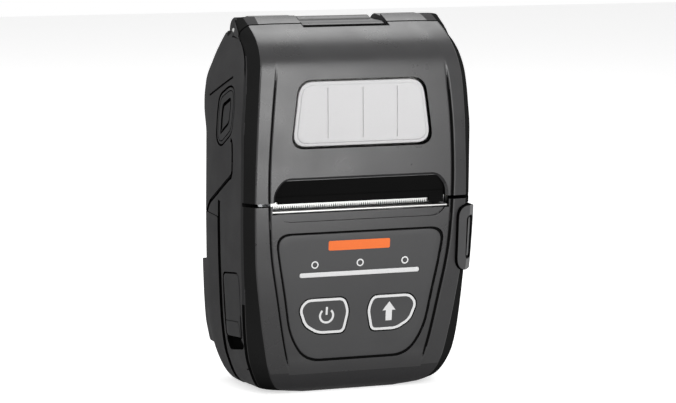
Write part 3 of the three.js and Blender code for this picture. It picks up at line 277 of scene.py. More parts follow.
def body_rings(z, inset, bump=0.0):
    """The body form's cross-sections: front face, crease, face edge, corner chamfer, flank, rear corner and
    back, as a right half and its mirror image, for a whole array of heights."""
    front = -reach_in(lambda s: -level_y(front_share(s)), z, inset)
    back = reach_in(lambda s: level_y(back_share(s)) + bump, z, inset)
    face = reach_in(lambda s: face_share(s) * HALF_WIDTH, z, inset)
    side = reach_in(lambda s: side_share(s) * HALF_WIDTH, z, inset)
    rear = reach_in(lambda s: rear_share(s) * HALF_WIDTH, z, inset)
    crease = np.minimum(crease_share(z / BODY_HEIGHT) * HALF_WIDTH, face * 0.95)
    step = CREASE_STEP * step_share(z / BODY_HEIGHT) * (inset <= 0)
    thickness = back - front
    chamfer = np.minimum(CHAMFER * chamfer_share(z / BODY_HEIGHT), thickness * 0.3)
    corner = np.minimum(BACK_CORNER, thickness * 0.3)
    drop = np.minimum(FACE_DROP, thickness * 0.1)

    def at(x, y):
        """One point of the ring at every height."""
        return np.stack([x + 0 * z, y + 0 * z], axis=-1)

    face_edge = at(face, front + drop)
    side_edge = at(side, front + chamfer)
    rear_edge = at(rear, back - corner)
    across = np.linspace(-1.3, 1.3, 19)[:, None]
    rise = crease_rise(across) * step
    groove = 0.60 * np.exp(-((across - 0.05) / 0.34) ** 2) * step / CREASE_STEP
    slope = drop * np.clip(across, 0, None) / np.maximum(face - crease, 1.0)
    crease_line = np.stack([crease + across, front + rise + groove + slope], axis=-1)
    turn = np.linspace(0, pi / 2, 9)[:, None]
    arc = np.stack([rear - corner + corner * np.cos(turn), back - corner + corner * np.sin(turn)], axis=-1)
    right = np.concatenate([
        straight(at(0, front + step), crease_line[0], 5), crease_line, straight(crease_line[-1], face_edge, 1),
        crisp_corner(crease_line[-1], face_edge, side_edge, 0.3, 5), straight(face_edge, side_edge, 1),
        crisp_corner(face_edge, side_edge, rear_edge, 0.75, 2), straight(side_edge, rear_edge, 8), arc,
        straight(arc[-1], at(0, back), 6)])
    left = right[::-1] * (-1, 1)
    ring = np.concatenate([at(0, front + step)[None], right, at(0, back)[None], left])
    return np.concatenate([ring, np.broadcast_to(z[:, None], ring.shape[:2] + (1,))], axis=-1).transpose(1, 0, 2)


def mesh_of(name, points, faces):
    """A mesh in metres from points in millimetres, with its faces turned outwards."""
    mesh = bpy.data.meshes.new(name)
    mesh.from_pydata((np.asarray(points) * MM).tolist(), [], faces)
    shaped = bmesh.new()
    shaped.from_mesh(mesh)
    bmesh.ops.recalc_face_normals(shaped, faces=shaped.faces[:])
    if shaped.calc_volume(signed=True) < 0:
        bmesh.ops.reverse_faces(shaped, faces=shaped.faces[:])
    shaped.to_mesh(mesh)
    shaped.free()
    return mesh


def loft(name, rings):
    """A closed solid through cross-sections of as many points each, with a flat face at both ends."""
    levels, count = rings.shape[:2]
    index = np.arange(levels * count).reshape(levels, count)
    beside = np.roll(index, -1, axis=1)
    sides = np.stack([index[:-1], beside[:-1], beside[1:], index[1:]], axis=-1).reshape(-1, 4).tolist()
    ends = [index[0][::-1].tolist(), index[-1].tolist()]
    return mesh_of(name, rings.reshape(-1, 3), sides + ends)


BODY_LEVELS = np.concatenate([
    np.linspace(0, 14, 22)[:-1], np.linspace(14, 98, 64)[:-1], np.linspace(98, 124, 34)])


def body_form(inset, bump=0.0):
    """The body form as a solid, set in by an inset and closed where it grows too thin."""
    low = max(inset, 0.0)
    z = low + BODY_LEVELS * (BODY_HEIGHT - low) / BODY_HEIGHT
    rings = body_rings(z, inset, bump)
    depth = np.ptp(rings[:, :, 1], axis=1)
    return loft("form", rings[depth > SHELL_WALL * 1.2] if inset > 0 else rings)


def prism(axis, outline, low, high):
    """An outline carried along an axis: across the width (x) from (y, z) points, or along the depth (y) from
    (x, z) points."""
    outline = np.asarray(outline, float)
    order = {"x": (2, 0, 1), "y": (0, 2, 1)}[axis]
    ends = [np.column_stack([outline, np.full(len(outline), end)])[:, order] for end in (low, high)]
    return loft("prism", np.stack(ends))


def block(x, y, z):
    """A box from its three ranges."""
    return prism("y", [(x[0], z[0]), (x[1], z[0]), (x[1], z[1]), (x[0], z[1])], *y)


def carve(body, operation, *tools):
    """Cuts tools from a body, joins them to it or keeps what they share, and returns the new mesh."""
    holder = link_mesh("holder", body)
    helpers = [link_mesh("tool", tool) for tool in tools]
    for helper in helpers:
        step = holder.modifiers.new("step", "BOOLEAN")
        step.solver = "MANIFOLD"
        step.operation = operation
        step.object = helper
    result = bpy.data.meshes.new_from_object(holder.evaluated_get(bpy.context.evaluated_depsgraph_get()))
    for helper in [holder, *helpers]:
        bpy.data.objects.remove(helper)
    return result


def rounded(outline, radius, count=7):
    """An outline with each corner rounded by a quadratic curve."""
    outline = np.asarray(outline, float)
    before, after = np.roll(outline, 1, axis=0), np.roll(outline, -1, axis=0)
    return bezier_corner(before, outline, after, radius, count).transpose(1, 0, 2).reshape(-1, 2)


def turn_sense(outline):
    """The sign of an outline's area: 1 where it runs one way round, -1 where it runs the other."""
    return np.sign(np.sum(outline[:, 0] * np.roll(outline[:, 1], -1) - outline[:, 1] * np.roll(outline[:, 0], -1)))


def grown(outline, margin):
    """An outline moved outwards along its corners' middle directions."""
    outline = np.asarray(outline, float)
    before = outline - np.roll(outline, 1, axis=0)
    after = np.roll(outline, -1, axis=0) - outline
    before /= np.linalg.norm(before, axis=1, keepdims=True)
    after /= np.linalg.norm(after, axis=1, keepdims=True)
    out = np.stack([before[:, 1] + after[:, 1], -before[:, 0] - after[:, 0]], axis=1) * turn_sense(outline)
    out /= np.linalg.norm(out, axis=1, keepdims=True)
    spread = np.sqrt(np.clip((1 + np.sum(before * after, axis=1)) / 2, 0.16, 1))
    return outline + out * margin / spread[:, None]


def mirrored(points):
    """Right-hand points followed by their mirror images, as one outline."""
    return list(points) + [(-x, z) for x, z in reversed(points)]


def shaded(mesh, angle=30.0):
    """Smooth shading, with a crisp line wherever two faces meet at more than the angle."""
    mesh.shade_smooth()
    mesh.set_sharp_from_angle(angle=radians(angle))
    return mesh


def add_piece(name, mesh, finish, body, slot, *nodes):
    """A shown piece: its finish, the body that it rides on, its material slot (not used) and the nodes it stands for.
    """
    mesh.materials.clear()
    mesh.materials.append(finish)
    mesh.polygons.foreach_set("material_index", np.zeros(len(mesh.polygons), dtype=np.int32))
    piece = link_mesh(name, shaded(mesh))
    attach(piece, body)
    if nodes:
        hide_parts(*nodes)
    return piece


def surface_front(x, z):
    """The front face's depth at a place: flat to the crease, then easing back to the face edge."""
    share = z / BODY_HEIGHT
    crease, face = crease_share(share) * HALF_WIDTH, face_share(share) * HALF_WIDTH
    ease = np.clip((np.abs(x) - crease) / (face - crease), 0, 1)
    return front_y(z) + FACE_DROP * ease + CREASE_STEP * step_share(share) * crease_rise(np.abs(x) - crease)


def side_x(y, z):
    """The flank's half width at a place, straight between the chamfer's edge and the rear corner."""
    share = z / BODY_HEIGHT
    near = front_y(z) + CHAMFER
    far = level_y(back_share(share)) - BACK_CORNER
    ease = np.clip((y - near) / (far - near), 0, 1)
    return HALF_WIDTH * (side_share(share) * (1 - ease) + rear_share(share) * ease)


NEARBY = 0.2


def skin_depth(x, y, z):
    """How far a place lies under the body form's skin: the least distance to its front, bevels, flanks, back and
    foot, each measured square to that face."""
    share = z / BODY_HEIGHT
    above, below = (z + NEARBY) / BODY_HEIGHT, (z - NEARBY) / BODY_HEIGHT
    lean = level_y(front_share(above)) - level_y(front_share(below))
    back_lean = level_y(back_share(above)) - level_y(back_share(below))
    back = level_y(back_share(share))
    face, side = face_share(share) * HALF_WIDTH, side_share(share) * HALF_WIDTH
    run, rise = side - face, CHAMFER * chamfer_share(share) - FACE_DROP
    bevel = ((y - front_y(z) - FACE_DROP) * run - (np.abs(x) - face) * rise) / np.hypot(run, rise)
    step = 2 * NEARBY
    return np.min([(y - surface_front(x, z)) / np.hypot(1, lean / step), bevel, side_x(y, z) - np.abs(x),
                   (back - y) / np.hypot(1, back_lean / step), z], axis=0)


def face_places(piece):
    """The middles in millimetres and the normals of a piece's faces, as six rows."""
    count = len(piece.data.polygons)
    middles, normals = np.zeros(count * 3), np.zeros(count * 3)
    piece.data.polygons.foreach_get("center", middles)
    piece.data.polygons.foreach_get("normal", normals)
    return [*(middles.reshape(-1, 3) / MM).T, *normals.reshape(-1, 3).T]


SHOULDER_Z = 112.0


def dress_shell(piece):
    """Shares out a shell's finishes, three of them painted shade: near-black on the corner bevels, a copy of the case
    plastic with little reflection on faces that turn sideways, back or down or lie at the shoulder's outer ends, and
    black on faces more than 0.26 mm under the skin (grooves, seams and recesses, not at the hinge or the slot's open
    floor); the case plastic covers the rest."""
    for finish in (bevel_shade_black, flank_shade_charcoal, recess_shade_black):
        piece.data.materials.append(finish)
    x, y, z, nx, ny, nz = face_places(piece)
    share = z / BODY_HEIGHT
    face, side = face_share(share) * HALF_WIDTH, side_share(share) * HALF_WIDTH
    across = (y - front_y(z) - FACE_DROP) / (CHAMFER * chamfer_share(share) - FACE_DROP)
    loose = np.clip((z - 108) / 8, 0, 1)
    near_bevel = np.abs(np.abs(x) - face - (side - face) * across) < 0.35 + 1.4 * loose
    shaded_bevel = near_bevel & (across > 0.05) & (across < 0.86 + 0.2 * loose) & (np.abs(nx) > 0.2) & (ny < -0.1)
    shoulder = z > SHOULDER_Z
    shaded_side = (np.abs(nx) > 0.85) | (ny > 0.3) | (nz < -0.3) | ((np.abs(x) > 30.2) & shoulder & (y > -3.3))
    depth = skin_depth(x, y, z)
    at_hinge = shoulder & (y > -2.6)
    open_floor = (np.abs(x) < 31.6) & (z > 57) & (z < 75) & (ny < -0.6) & (depth < 0.85)
    shaded_recess = (depth > 0.26) & ~at_hinge & ~open_floor
    index = np.select([shaded_recess, shaded_bevel, shaded_side], [3, 1, 2], 0)
    piece.data.polygons.foreach_set("material_index", index.astype(np.int32))


def moulded_plastic(name, colour, roughness, grain=0.22, depth=0.05, mottle=0.12, shine=0.35):
    """Moulded plastic: a spark texture of fine noise in the surface, and a faint mottle in colour and gloss."""
    finish, tree, paint = new_finish(name)
    place = add_node(tree, "TexCoord", {}).outputs["Object"]
    speckle = add_node(
        tree, "TexNoise", {"Vector": place, "Scale": 1 / (grain * MM * 2), "Detail": 3.0}).outputs["Fac"]
    cloud = add_node(tree, "TexNoise", {"Vector": place, "Scale": 90.0, "Detail": 4.0}).outputs["Fac"]
    blend = add_node(tree, "Mix", {"Factor": 0.35, "A": speckle, "B": cloud}, data_type="FLOAT")
    tone = add_node(tree, "MapRange", {
        "Value": blend.outputs["Result"], "From Min": 0.3, "From Max": 0.7, "To Min": 1 - mottle,
        "To Max": 1 + mottle})
    colouring = add_node(
        tree, "Mix", {"Factor": 1.0, "A": (*colour, 1.0), "B": tone.outputs["Result"]}, data_type="RGBA",
        blend_type="MULTIPLY")
    gloss = add_node(tree, "MapRange", {
        "Value": cloud, "From Min": 0.3, "From Max": 0.7, "To Min": roughness - 0.05, "To Max": roughness + 0.05})
    relief = add_node(tree, "Bump", {"Strength": 0.35, "Distance": depth * MM, "Height": speckle})
    fill(tree, paint, {
        "Specular IOR Level": shine, "Base Color": colouring.outputs["Result"], "Roughness": gloss.outputs["Result"],
        "Normal": relief.outputs["Normal"]})
    return finish


charcoal = moulded_plastic("charcoal_case", (0.018, 0.0176, 0.0184), 0.30, shine=0.5)
# Painted shade: a copy of the case plastic with little reflection, for shell faces that turn sideways, back or down.
flank_shade_charcoal = moulded_plastic("flank_shade_charcoal", (0.034, 0.0335, 0.0345), 0.60, shine=0.08)
# Painted shade: a black for shell faces in grooves, seams and recesses.
recess_shade_black = moulded_plastic("recess_shade_black", (0.006, 0.006, 0.006), 0.6, grain=0.12, depth=0.02, shine=0.0)
# Painted shade: a near-black without reflection for the corner bevels.
bevel_shade_black = moulded_plastic("bevel_shade_black", (0.017, 0.017, 0.017), 0.60, grain=0.15, depth=0.03, shine=0.0)

PACK_TOP = 56.8
BATTERY_PARTING = 6.4
CHEEK_POINTS = [
    (level_y(0.09), 83.3), (level_y(0.335), 83.3), (level_y(0.328), 76.8), (level_y(0.335), 73.46),
    (level_y(0.4), 71.35), (level_y(0.64), 65.63), (level_y(0.84), 60.8), (level_y(0.93), 57.2),
    (level_y(1.3), 57.2)]


def below_cheek(offset):
    """The room under the cheek line, which steps down the flank to the back. Only its steep part has a gap."""
    line = [(y - offset, z - offset) for y, z in CHEEK_POINTS[1:-2]]
    line = [CHEEK_POINTS[0], (line[0][0], CHEEK_POINTS[1][1]), *line[1:], *CHEEK_POINTS[-2:]]
    start = (-FAR, line[0][1])
    return prism("x", [start, *line, (FAR, line[-1][1]), (FAR, -FAR), (-FAR, -FAR)], -FAR, FAR)


def cover_side(offset, foot):
    """The room in front of the cover's seam, which follows the rear edge of the corner chamfer: a hairline low
    down, and open by the offset over the shoulder."""
    z = np.linspace(SLOT_HEIGHT, 116.8, 60)
    z = z[z > foot]
    open_share = np.clip((z - 105) / 3, 0.04, 1)
    edge = list(zip(front_y(z) + CHAMFER * chamfer_share(z / BODY_HEIGHT) + offset * open_share, z))
    foot_y = front_y(np.array([foot]))[0] + CHAMFER + offset * 0.04
    top = [(3 + offset, 117.4 - offset), (3 + offset, FAR * 3), (-FAR, FAR * 3)]
    return prism("x", [(-FAR, foot), (foot_y, foot), *edge, *top], -FAR, FAR)


def on_side(side):
    """Points of an outline (y, z) laid on one flank, raised by a height."""
    def lay(points, height):
        """The flank's half width at each point, with the height added."""
        y, z = points[:, 0], points[:, 1]
        return np.column_stack([side * (side_x(y, z) + height), y, z])

    return lay


def raised(name, outline, lay, height, depth):
    """A plate between an outline laid at a height and the same outline laid deeper."""
    return loft(name, np.array([lay(outline, height - depth), lay(outline, height)]))


def polyline_band(name, line, width, lay, height, depth=0.3):
    """A stroke of even width along an open line of points, to be printed or cut."""
    line = np.asarray(line, float)
    along = np.gradient(line, axis=0)
    along /= np.linalg.norm(along, axis=1, keepdims=True)
    out = np.stack([-along[:, 1], along[:, 0]], axis=1) * width / 2
    outline = np.concatenate([line + out, (line - out)[::-1]])
    return raised(name, outline, lay, height, depth)


def flank_groove(line, width, side):
    """A groove of even width along a line (y, z) of a flank, to be cut from it."""
    return polyline_band("groove", line, width, on_side(side), 0.5, min(1.3, 1.8 * width))


def pocket(prism_mesh, depth):
    """A prism cut back to a depth under the body's surface."""
    return carve(prism_mesh, "DIFFERENCE", body_form(depth))


shell = carve(body_form(0.0), "DIFFERENCE", body_form(SHELL_WALL))
COVER_SEAM = 0.7
case_shell = carve(shell.copy(), "DIFFERENCE", cover_side(COVER_SEAM, SLOT_HEIGHT))
behind_parting = block((-FAR, FAR), (BATTERY_PARTING, FAR), (-FAR, PACK_TOP + FIT_GAP))

PANEL_POINTS = mirrored([(29, 54.34), (27.6, 44.64), (25.5, 33.98), (23.4, 20.96), (17.8, 12.22)])
PANEL_CORNER = 5.5
PANEL_GROOVE = 0.75
PANEL_DEPTH = 1.05
LIP_POINTS = mirrored([(30.6, 62.6), (27.2, 58.7)])
LIP_DEPTH = 1.1
SLOT_ROOM_HALF, SLOT_ROOM_BACK, SLOT_ROOM_FLOOR = 30.9, -17.6, 61.4
FLAP_POINTS = [(-12.6, 19.7), (2.6, 17.7), (2.6, 38.6), (-11.0, 40.7), (-12.6, 39.6)]
FLAP_GAP, FLAP_CORNER = 0.6, 2.0
FLANK_POCKET = 1.6
NOTCH_POINTS = [(-10.4, 19.6), (-13.8, 17.4), (-12.2, 15.7), (0.9, 13.1), (2.9, 16.1), (2.4, 18.6)]
CHEEK_WIDTH, FOOT_WIDTH = 1.4, 0.45
CHEEK_GAP = 0.45
PARTING_SHADOW = 0.9
CHEEK_GROOVE = [
    (-5.7, 84.3), (-6.9, 83.9), (-7.35, 82.8), (-7.5, 80), (-7.6, 77), (-7.35, 73.8), (-6.4, 72.1), (-4.4, 71.3),
    (0, 69), (6.1, 65.7), (10.5, 63.3), (14.9, 60.9), (16.6, 59.2), (18.4, 56.9)]
FOOT_LINE = [(-16.9, 24), (-16.9, 19), (-16.4, 14.4), (-15.6, 11.8), (-13.8, 9.6), (-10.6, 8.6)]
LEVER_POINTS = [(34, 39.8), (42.6, 39.8), (42.6, 61.8), (34, 61.8)]
LEVER_CORNER = 4.5
LEVER_BACK, LEVER_SWING = -7.6, 1.2
KEY_CORNER = 2.1
KEY_POINTS = [(-18.4, 32.86), (-21, 29.5), (-18.8, 23.56), (-14, 20.65), (-4.6, 20.65), (-3, 28.27), (-4.8, 32.86)]


def key_points(side):
    """A key's corners: the left key's, or their mirror image."""
    return [(-side * x, z) for x, z in KEY_POINTS]


def key_outline(side, margin=0.0):
    """A key's corners moved out by a margin and rounded."""
    return rounded(grown(key_points(side), margin), KEY_CORNER)


front_cuts = [
    pocket(prism("y", rounded(grown(PANEL_POINTS, PANEL_GROOVE), PANEL_CORNER), -FAR, 0), PANEL_DEPTH),
    pocket(prism("y", rounded(LIP_POINTS, 3), -FAR, 0), LIP_DEPTH),
    block((-SLOT_ROOM_HALF, SLOT_ROOM_HALF), (-FAR, SLOT_ROOM_BACK), (SLOT_ROOM_FLOOR, FAR * 3)),
    pocket(prism("x", rounded(grown(FLAP_POINTS, FLAP_GAP), FLAP_CORNER + 0.4), -FAR, 0), FLANK_POCKET),
    pocket(prism("x", rounded(NOTCH_POINTS, 1.2), -FAR, 0), FLANK_POCKET),
    pocket(block((-FAR, FAR), (BATTERY_PARTING - 1.8, BATTERY_PARTING + 0.5), (-FAR, 62.6)), PARTING_SHADOW),
    *[flank_groove(CHEEK_GROOVE, CHEEK_WIDTH, side) for side in (-1, 1)], flank_groove(FOOT_LINE, FOOT_WIDTH, -1),
    prism("y", rounded(grown(LEVER_POINTS, SEAM_GAP), LEVER_CORNER), -FAR, LEVER_BACK + LEVER_SWING),
    *[prism("y", key_outline(side, FIT_GAP), -FAR, 0) for side in (-1, 1)],
]
front_shell = carve(case_shell.copy(), "INTERSECT", below_cheek(CHEEK_GAP))
front_shell = carve(front_shell, "DIFFERENCE", behind_parting, *front_cuts)
dress_shell(add_piece("front_case_shell", front_shell, charcoal, "root", "shell", "front_case"))


# Control panel: a satin overlay of dark grey plastic, snapped into its groove in the front case, with the light
# bar and both keys let into it. Its rim is rounded.
def on_front(points, height):
    """Points of an outline (x, z) laid on the front face, raised by a height."""
    x, z = points[:, 0], points[:, 1]
    return np.column_stack([x, surface_front(x, z) - height, z])


def shrinking(points, corner, count=9):
    """A cornered outline as a function of how far it has moved inwards, its corners easing with it."""
    return lambda inset: rounded(grown(points, -inset), max(corner - inset, 0.35), count)


def inlay(name, outline, lay, profile, middle_rings=5):
    """A plate on a curved surface: the outline moves in and up by each (inset, height) of the profile, and then
    shrinks towards its middle in rings; the back is closed flat."""
    rings = [lay(outline(inset), height) for inset, height in profile]
    last_inset, top = profile[-1]
    rim = outline(last_inset)
    centre = rim.mean(axis=0)
    for share in np.linspace(1, 0, middle_rings + 1)[1:-1]:
        rings.append(lay(centre + (rim - centre) * share, top))
    return loft(name, np.array(rings))


def rim_profile(depth, radius, height):
    """A plate's rim in section: up from the hidden back, then a quarter round into its face."""
    turn = np.linspace(0, pi / 2, 5)
    return [(0.0, height - depth)] + [
        (radius * (1 - cos(t)), height - radius + radius * sin(t)) for t in turn]


def rectangle(x0, x1, z0, z1):
    """The four corners of an upright rectangle from its two ranges."""
    return [(x0, z0), (x1, z0), (x1, z1), (x0, z1)]


PANEL_SET = 0.15
panel_grey = moulded_plastic("panel_grey", (0.050, 0.050, 0.051), 0.42, grain=0.12, depth=0.02, mottle=0.05, shine=0.25)
panel = inlay("panel", shrinking(PANEL_POINTS, PANEL_CORNER, 15), on_front, rim_profile(0.75, 0.3, -PANEL_SET), 12)
BAR = (-21, 21, 40.0, 41.6)
panel = carve(
    panel, "DIFFERENCE", prism("y", rounded(grown(rectangle(*BAR), 0.1), 0.8), -FAR, 0),
    *[prism("y", key_outline(side, FIT_GAP), -FAR, 0) for side in (-1, 1)])
add_piece("panel_overlay", panel, panel_grey, "root", "panel", "control_panel")


# Light bar: a strip that spreads the three status lights. It is moulded in milky plastic and sits flush in the
# panel's opening, held by its rim.
def glowing_white(name, colour, roughness, glow=0.0):
    """A milky white plastic or print, with a faint mottle."""
    finish = moulded_plastic(name, colour, roughness, grain=0.3, depth=0.01, mottle=0.03, shine=0.1)
    fill(finish.node_tree, finish.node_tree.nodes["Principled BSDF"], {
        "Emission Color": (*colour, 1.0), "Emission Strength": glow})
    return finish


milky_white = glowing_white("milky_light_bar", (0.66, 0.66, 0.66), 0.4)
light_bar = inlay("light_bar", shrinking(rectangle(*BAR), 0.75), on_front, rim_profile(0.7, 0.2, -0.1), 3)
add_piece("light_bar_strip", light_bar, milky_white, "root", "light", "light_bar")


# Printed marks: a plain orange bar, and a small round mark over each third of the light bar. They are printed in
# ink on the panel's face.
def ring_band(name, outline, width, lay, height, depth=0.35):
    """A printed or moulded line that follows an outline: a thin band between the outline and its inner offset."""
    outline = np.asarray(outline, float)
    inner = inset_line(outline, width)
    rings = np.array([
        lay(outline, height - depth), lay(outline, height), lay(inner, height), lay(inner, height - depth)])
    levels, count = rings.shape[:2]
    index = np.arange(levels * count).reshape(levels, count)
    onwards, beside = np.roll(index, -1, axis=0), np.roll(index, -1, axis=1)
    corner = np.roll(beside, -1, axis=0)
    faces = np.stack([index, beside, corner, onwards], axis=-1).reshape(-1, 4).tolist()
    return mesh_of(name, rings.reshape(-1, 3), faces)


def inset_line(outline, distance):
    """A dense outline moved inwards along its own normals."""
    along = np.roll(outline, -1, axis=0) - np.roll(outline, 1, axis=0)
    along /= np.linalg.norm(along, axis=1, keepdims=True)
    return outline + np.stack([-along[:, 1], along[:, 0]], axis=1) * turn_sense(outline) * distance


ORANGE_BAR = (-11.2, 10.3, 48.7, 51.9)
print_white = glowing_white("white_print", (0.70, 0.70, 0.70), 0.45)
orange_print = glowing_white("orange_print", (0.78, 0.17, 0.045), 0.45)
orange_bar = inlay("orange_bar", shrinking(rectangle(*ORANGE_BAR), 0.6), on_front, [(0, -0.4), (0, -0.12)], 3)
add_piece("orange_mark", orange_bar, orange_print, "root", "panel")


def circle(x, z, radius, count=32):
    """Points spaced evenly round a centre, from their cosines and sines."""
    turn = np.arange(count) * 2 * pi / count
    return np.column_stack([x + radius * np.cos(turn), z + radius * np.sin(turn)])


STATUS_X = (-15.8, 0.0, 15.8)
STATUS_Z = 44.2
for number, x in enumerate(STATUS_X, 1):
    mark = ring_band("status", circle(x, STATUS_Z, 1.25), 0.42, on_front, -0.11)
    add_piece(f"status_mark_{number}", mark, print_white, "root", "panel")


# Keys: two satin caps that sink into the panel, moulded in the panel's plastic, each with a stem on its back. The
# outline and the sign on each are printed in white.
KEY_MIDDLE = (11.0, 26.8)
SHAFT_FRONT = -13.5
STEM_RADIUS = 1.6
STEM_FRONT = -18.5
CAP_CORNER = 2.6
SIGN_HEIGHT = 0.06 - PANEL_SET
SIGN_WIDTH = 0.7


def key_lay(points, height):
    """A key's face: the front face with a slight dish towards the key's middle."""
    laid = on_front(points, height)
    away = np.hypot(np.abs(points[:, 0]) - KEY_MIDDLE[0], points[:, 1] - KEY_MIDDLE[1])
    laid[:, 1] += 0.25 * np.exp(-(away / 5.0) ** 2)
    return laid


def deep_turned(profile, x, z, count=48):
    """A round piece on an axis along the depth: each (y, radius) of the profile becomes a circle."""
    return loft("turned", np.array([np.insert(circle(x, z, radius, count), 1, y, axis=1) for y, radius in profile]))


for name, side, body in (("power", -1, "power_key"), ("feed", 1, "feed_key")):
    outline = key_outline(side)
    cap = inlay("key", shrinking(key_points(side), CAP_CORNER), key_lay, rim_profile(1.5, 0.35, -PANEL_SET), 12)
    x, z = side * KEY_MIDDLE[0], KEY_MIDDLE[1]
    stem = deep_turned([(SHAFT_FRONT, STEM_RADIUS), (STEM_FRONT, STEM_RADIUS)], x, z, 32)
    add_piece(f"{name}_key_cap", carve(cap, "UNION", stem), panel_grey, body, "panel", f"{name}_button")
    rim = ring_band("rim", inset_line(outline, 0.15), 0.85, key_lay, -PANEL_SET + 0.05)
    add_piece(f"{name}_key_outline", rim, print_white, body, "panel")
    if name == "power":
        turn = radians(90) + np.linspace(radians(42), radians(318), 40)
        arc = np.column_stack([x + 2.3 * np.cos(turn), z + 2.3 * np.sin(turn)])
        sign = carve(
            polyline_band("sign", arc, SIGN_WIDTH, key_lay, SIGN_HEIGHT), "UNION",
            polyline_band("sign", [(x, z + 0.3), (x, z + 1.6), (x, z + 3.0)], SIGN_WIDTH, key_lay, SIGN_HEIGHT))
    else:
        arrow = np.array([(x - 2.3, z + 0.6), (x, z + 3.6), (x + 2.3, z + 0.6), (x + 1.1, z + 0.6),
                          (x + 1.1, z - 2.9), (x - 1.1, z - 2.9), (x - 1.1, z + 0.6)])
        sign = raised("sign", arrow, key_lay, SIGN_HEIGHT, 0.31)
    add_piece(f"{name}_key_sign", sign, print_white, body, "panel")


# Port flap: a soft plastic cover over the charging socket in the left flank, with a finger tab at its foot.
# It follows the flank, and turns on a lip along its upper edge.
left_flank = on_side(-1)
rubbery_charcoal = moulded_plastic("flap_charcoal", (0.042, 0.042, 0.043), 0.62, grain=0.15, depth=0.03, shine=0.08)
FLAP_SPLIT_Z = 24.6
flap = inlay("flap", shrinking(FLAP_POINTS, FLAP_CORNER), left_flank, rim_profile(1.3, 0.3, 0.0), 10)
flap = carve(
    flap, "DIFFERENCE",
    polyline_band("split", [(3.2, FLAP_SPLIT_Z - 1.8), (-9.6, FLAP_SPLIT_Z), (-10.6, FLAP_SPLIT_Z - 1.2), (-10.9, 18)],
                  0.4, left_flank, 0.5, 0.85),
    polyline_band("tab", [(-12.9, 27), (-12.6, 24.5), (-12.2, 18)], 2.0, left_flank, 0.5, 2.2))
add_piece("port_flap_cover", flap, rubbery_charcoal, "flap", "shell", "port_flap")


# Release lever: a proud key round the right front corner, moulded in smooth charcoal plastic, with a long oval rib
# to push on. It turns about an upright axis and works the latch hook.
LEVER_PROUD, LEVER_DEPTH = 1.3, 2.4
LEVER_OVAL = rectangle(36.9, 40.3, 43.4, 58.4)
OVAL_BACK = -13


def refinish(piece, finish, chosen):
    """Gives a piece's chosen faces a second finish."""
    piece.data.materials.append(finish)
    piece.data.polygons.foreach_set("material_index", chosen.astype(np.int32))


lever = carve(body_form(-LEVER_PROUD), "DIFFERENCE", body_form(LEVER_DEPTH))
lever = carve(lever, "INTERSECT", prism("y", rounded(LEVER_POINTS, LEVER_CORNER), -FAR, LEVER_BACK))
lever_groove = carve(prism("y", rounded(LEVER_OVAL, 1.7), -FAR, OVAL_BACK), "DIFFERENCE", body_form(-0.4))
lever_rib = carve(
    prism("y", rounded(grown(LEVER_OVAL, -0.95), 0.9), -FAR, OVAL_BACK), "INTERSECT", body_form(-0.95))
lever = carve(carve(lever, "DIFFERENCE", lever_groove), "UNION", lever_rib)
lever_black = moulded_plastic("lever_charcoal", (0.045, 0.045, 0.046), 0.36, grain=0.1, depth=0.015)
lever_piece = add_piece("release_lever_key", lever, lever_black, "lever", "shell", "release_lever")
# Painted shade: the lever's faces within 0.75 mm of the body form, along its foot and in its oval groove, are black.
refinish(lever_piece, recess_shade_black, skin_depth(*face_places(lever_piece)[:3]) > -0.75)


# Main board: glass fibre with green solder mask, on four pillars behind the panel. Under each key's stem sits a
# snap dome of spring steel, soldered to the front of the board.
def span(cad_node):
    """A CAD node's range along each axis."""
    low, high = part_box(cad_node)
    return [(low[i] / MM, high[i] / MM) for i in range(3)]


def middle(ends):
    """The mean of a range's two ends."""
    return (ends[0] + ends[1]) / 2


def eased_box(axis, x, y, z, corner, count=7):
    """A box from its three ranges, with its four edges along an axis rounded."""
    first, second, along = {"x": (y, z, x), "y": (x, z, y)}[axis]
    return prism(axis, rounded(rectangle(*first, *second), corner, count), *along)


def bare_metal(name, colour, roughness, streak=(1.0, 1.0, 1.0)):
    """Worked metal: fine streaks in its gloss, stretched along the direction in which it was worked."""
    finish, tree, paint = new_finish(name)
    place = add_node(tree, "TexCoord", {}).outputs["Object"]
    stretch = add_node(tree, "Mapping", {"Vector": place, "Scale": streak})
    grain = add_node(
        tree, "TexNoise", {"Vector": stretch.outputs["Vector"], "Scale": 2500.0, "Detail": 3.0}).outputs["Fac"]
    gloss = add_node(tree, "MapRange", {"Value": grain, "To Min": roughness - 0.1, "To Max": roughness + 0.1})
    tone = mixed(tree, grain, [0.82 * c for c in colour], colour)
    fill(tree, paint, {
        "Metallic": 1.0, "Roughness": gloss.outputs["Result"], "Base Color": tone.outputs["Result"]})
    return finish


def recolour(finish, share, first, second):
    """Replaces a finish's colour by a mix of two, by a share from 0 to 1."""
    tree = finish.node_tree
    tone = mixed(tree, share, first, second)
    fill(tree, tree.nodes["Principled BSDF"], {"Base Color": tone.outputs["Result"]})
    return finish


def circuit_board(name):
    """Solder mask over copper: narrow paler tracks between the cells of a regular pattern."""
    finish = moulded_plastic(name, (0.02, 0.10, 0.045), 0.38, grain=0.4, depth=0.01, mottle=0.05)
    tree = finish.node_tree
    place = add_node(tree, "TexCoord", {}).outputs["Object"]
    tracks = add_node(tree, "TexVoronoi", {"Vector": place, "Scale": 260.0}, feature="DISTANCE_TO_EDGE")
    narrow = add_node(tree, "Math", {0: tracks.outputs["Distance"], 1: 0.05}, operation="LESS_THAN")
    return recolour(finish, narrow.outputs[0], (0.018, 0.085, 0.038), (0.05, 0.19, 0.08))


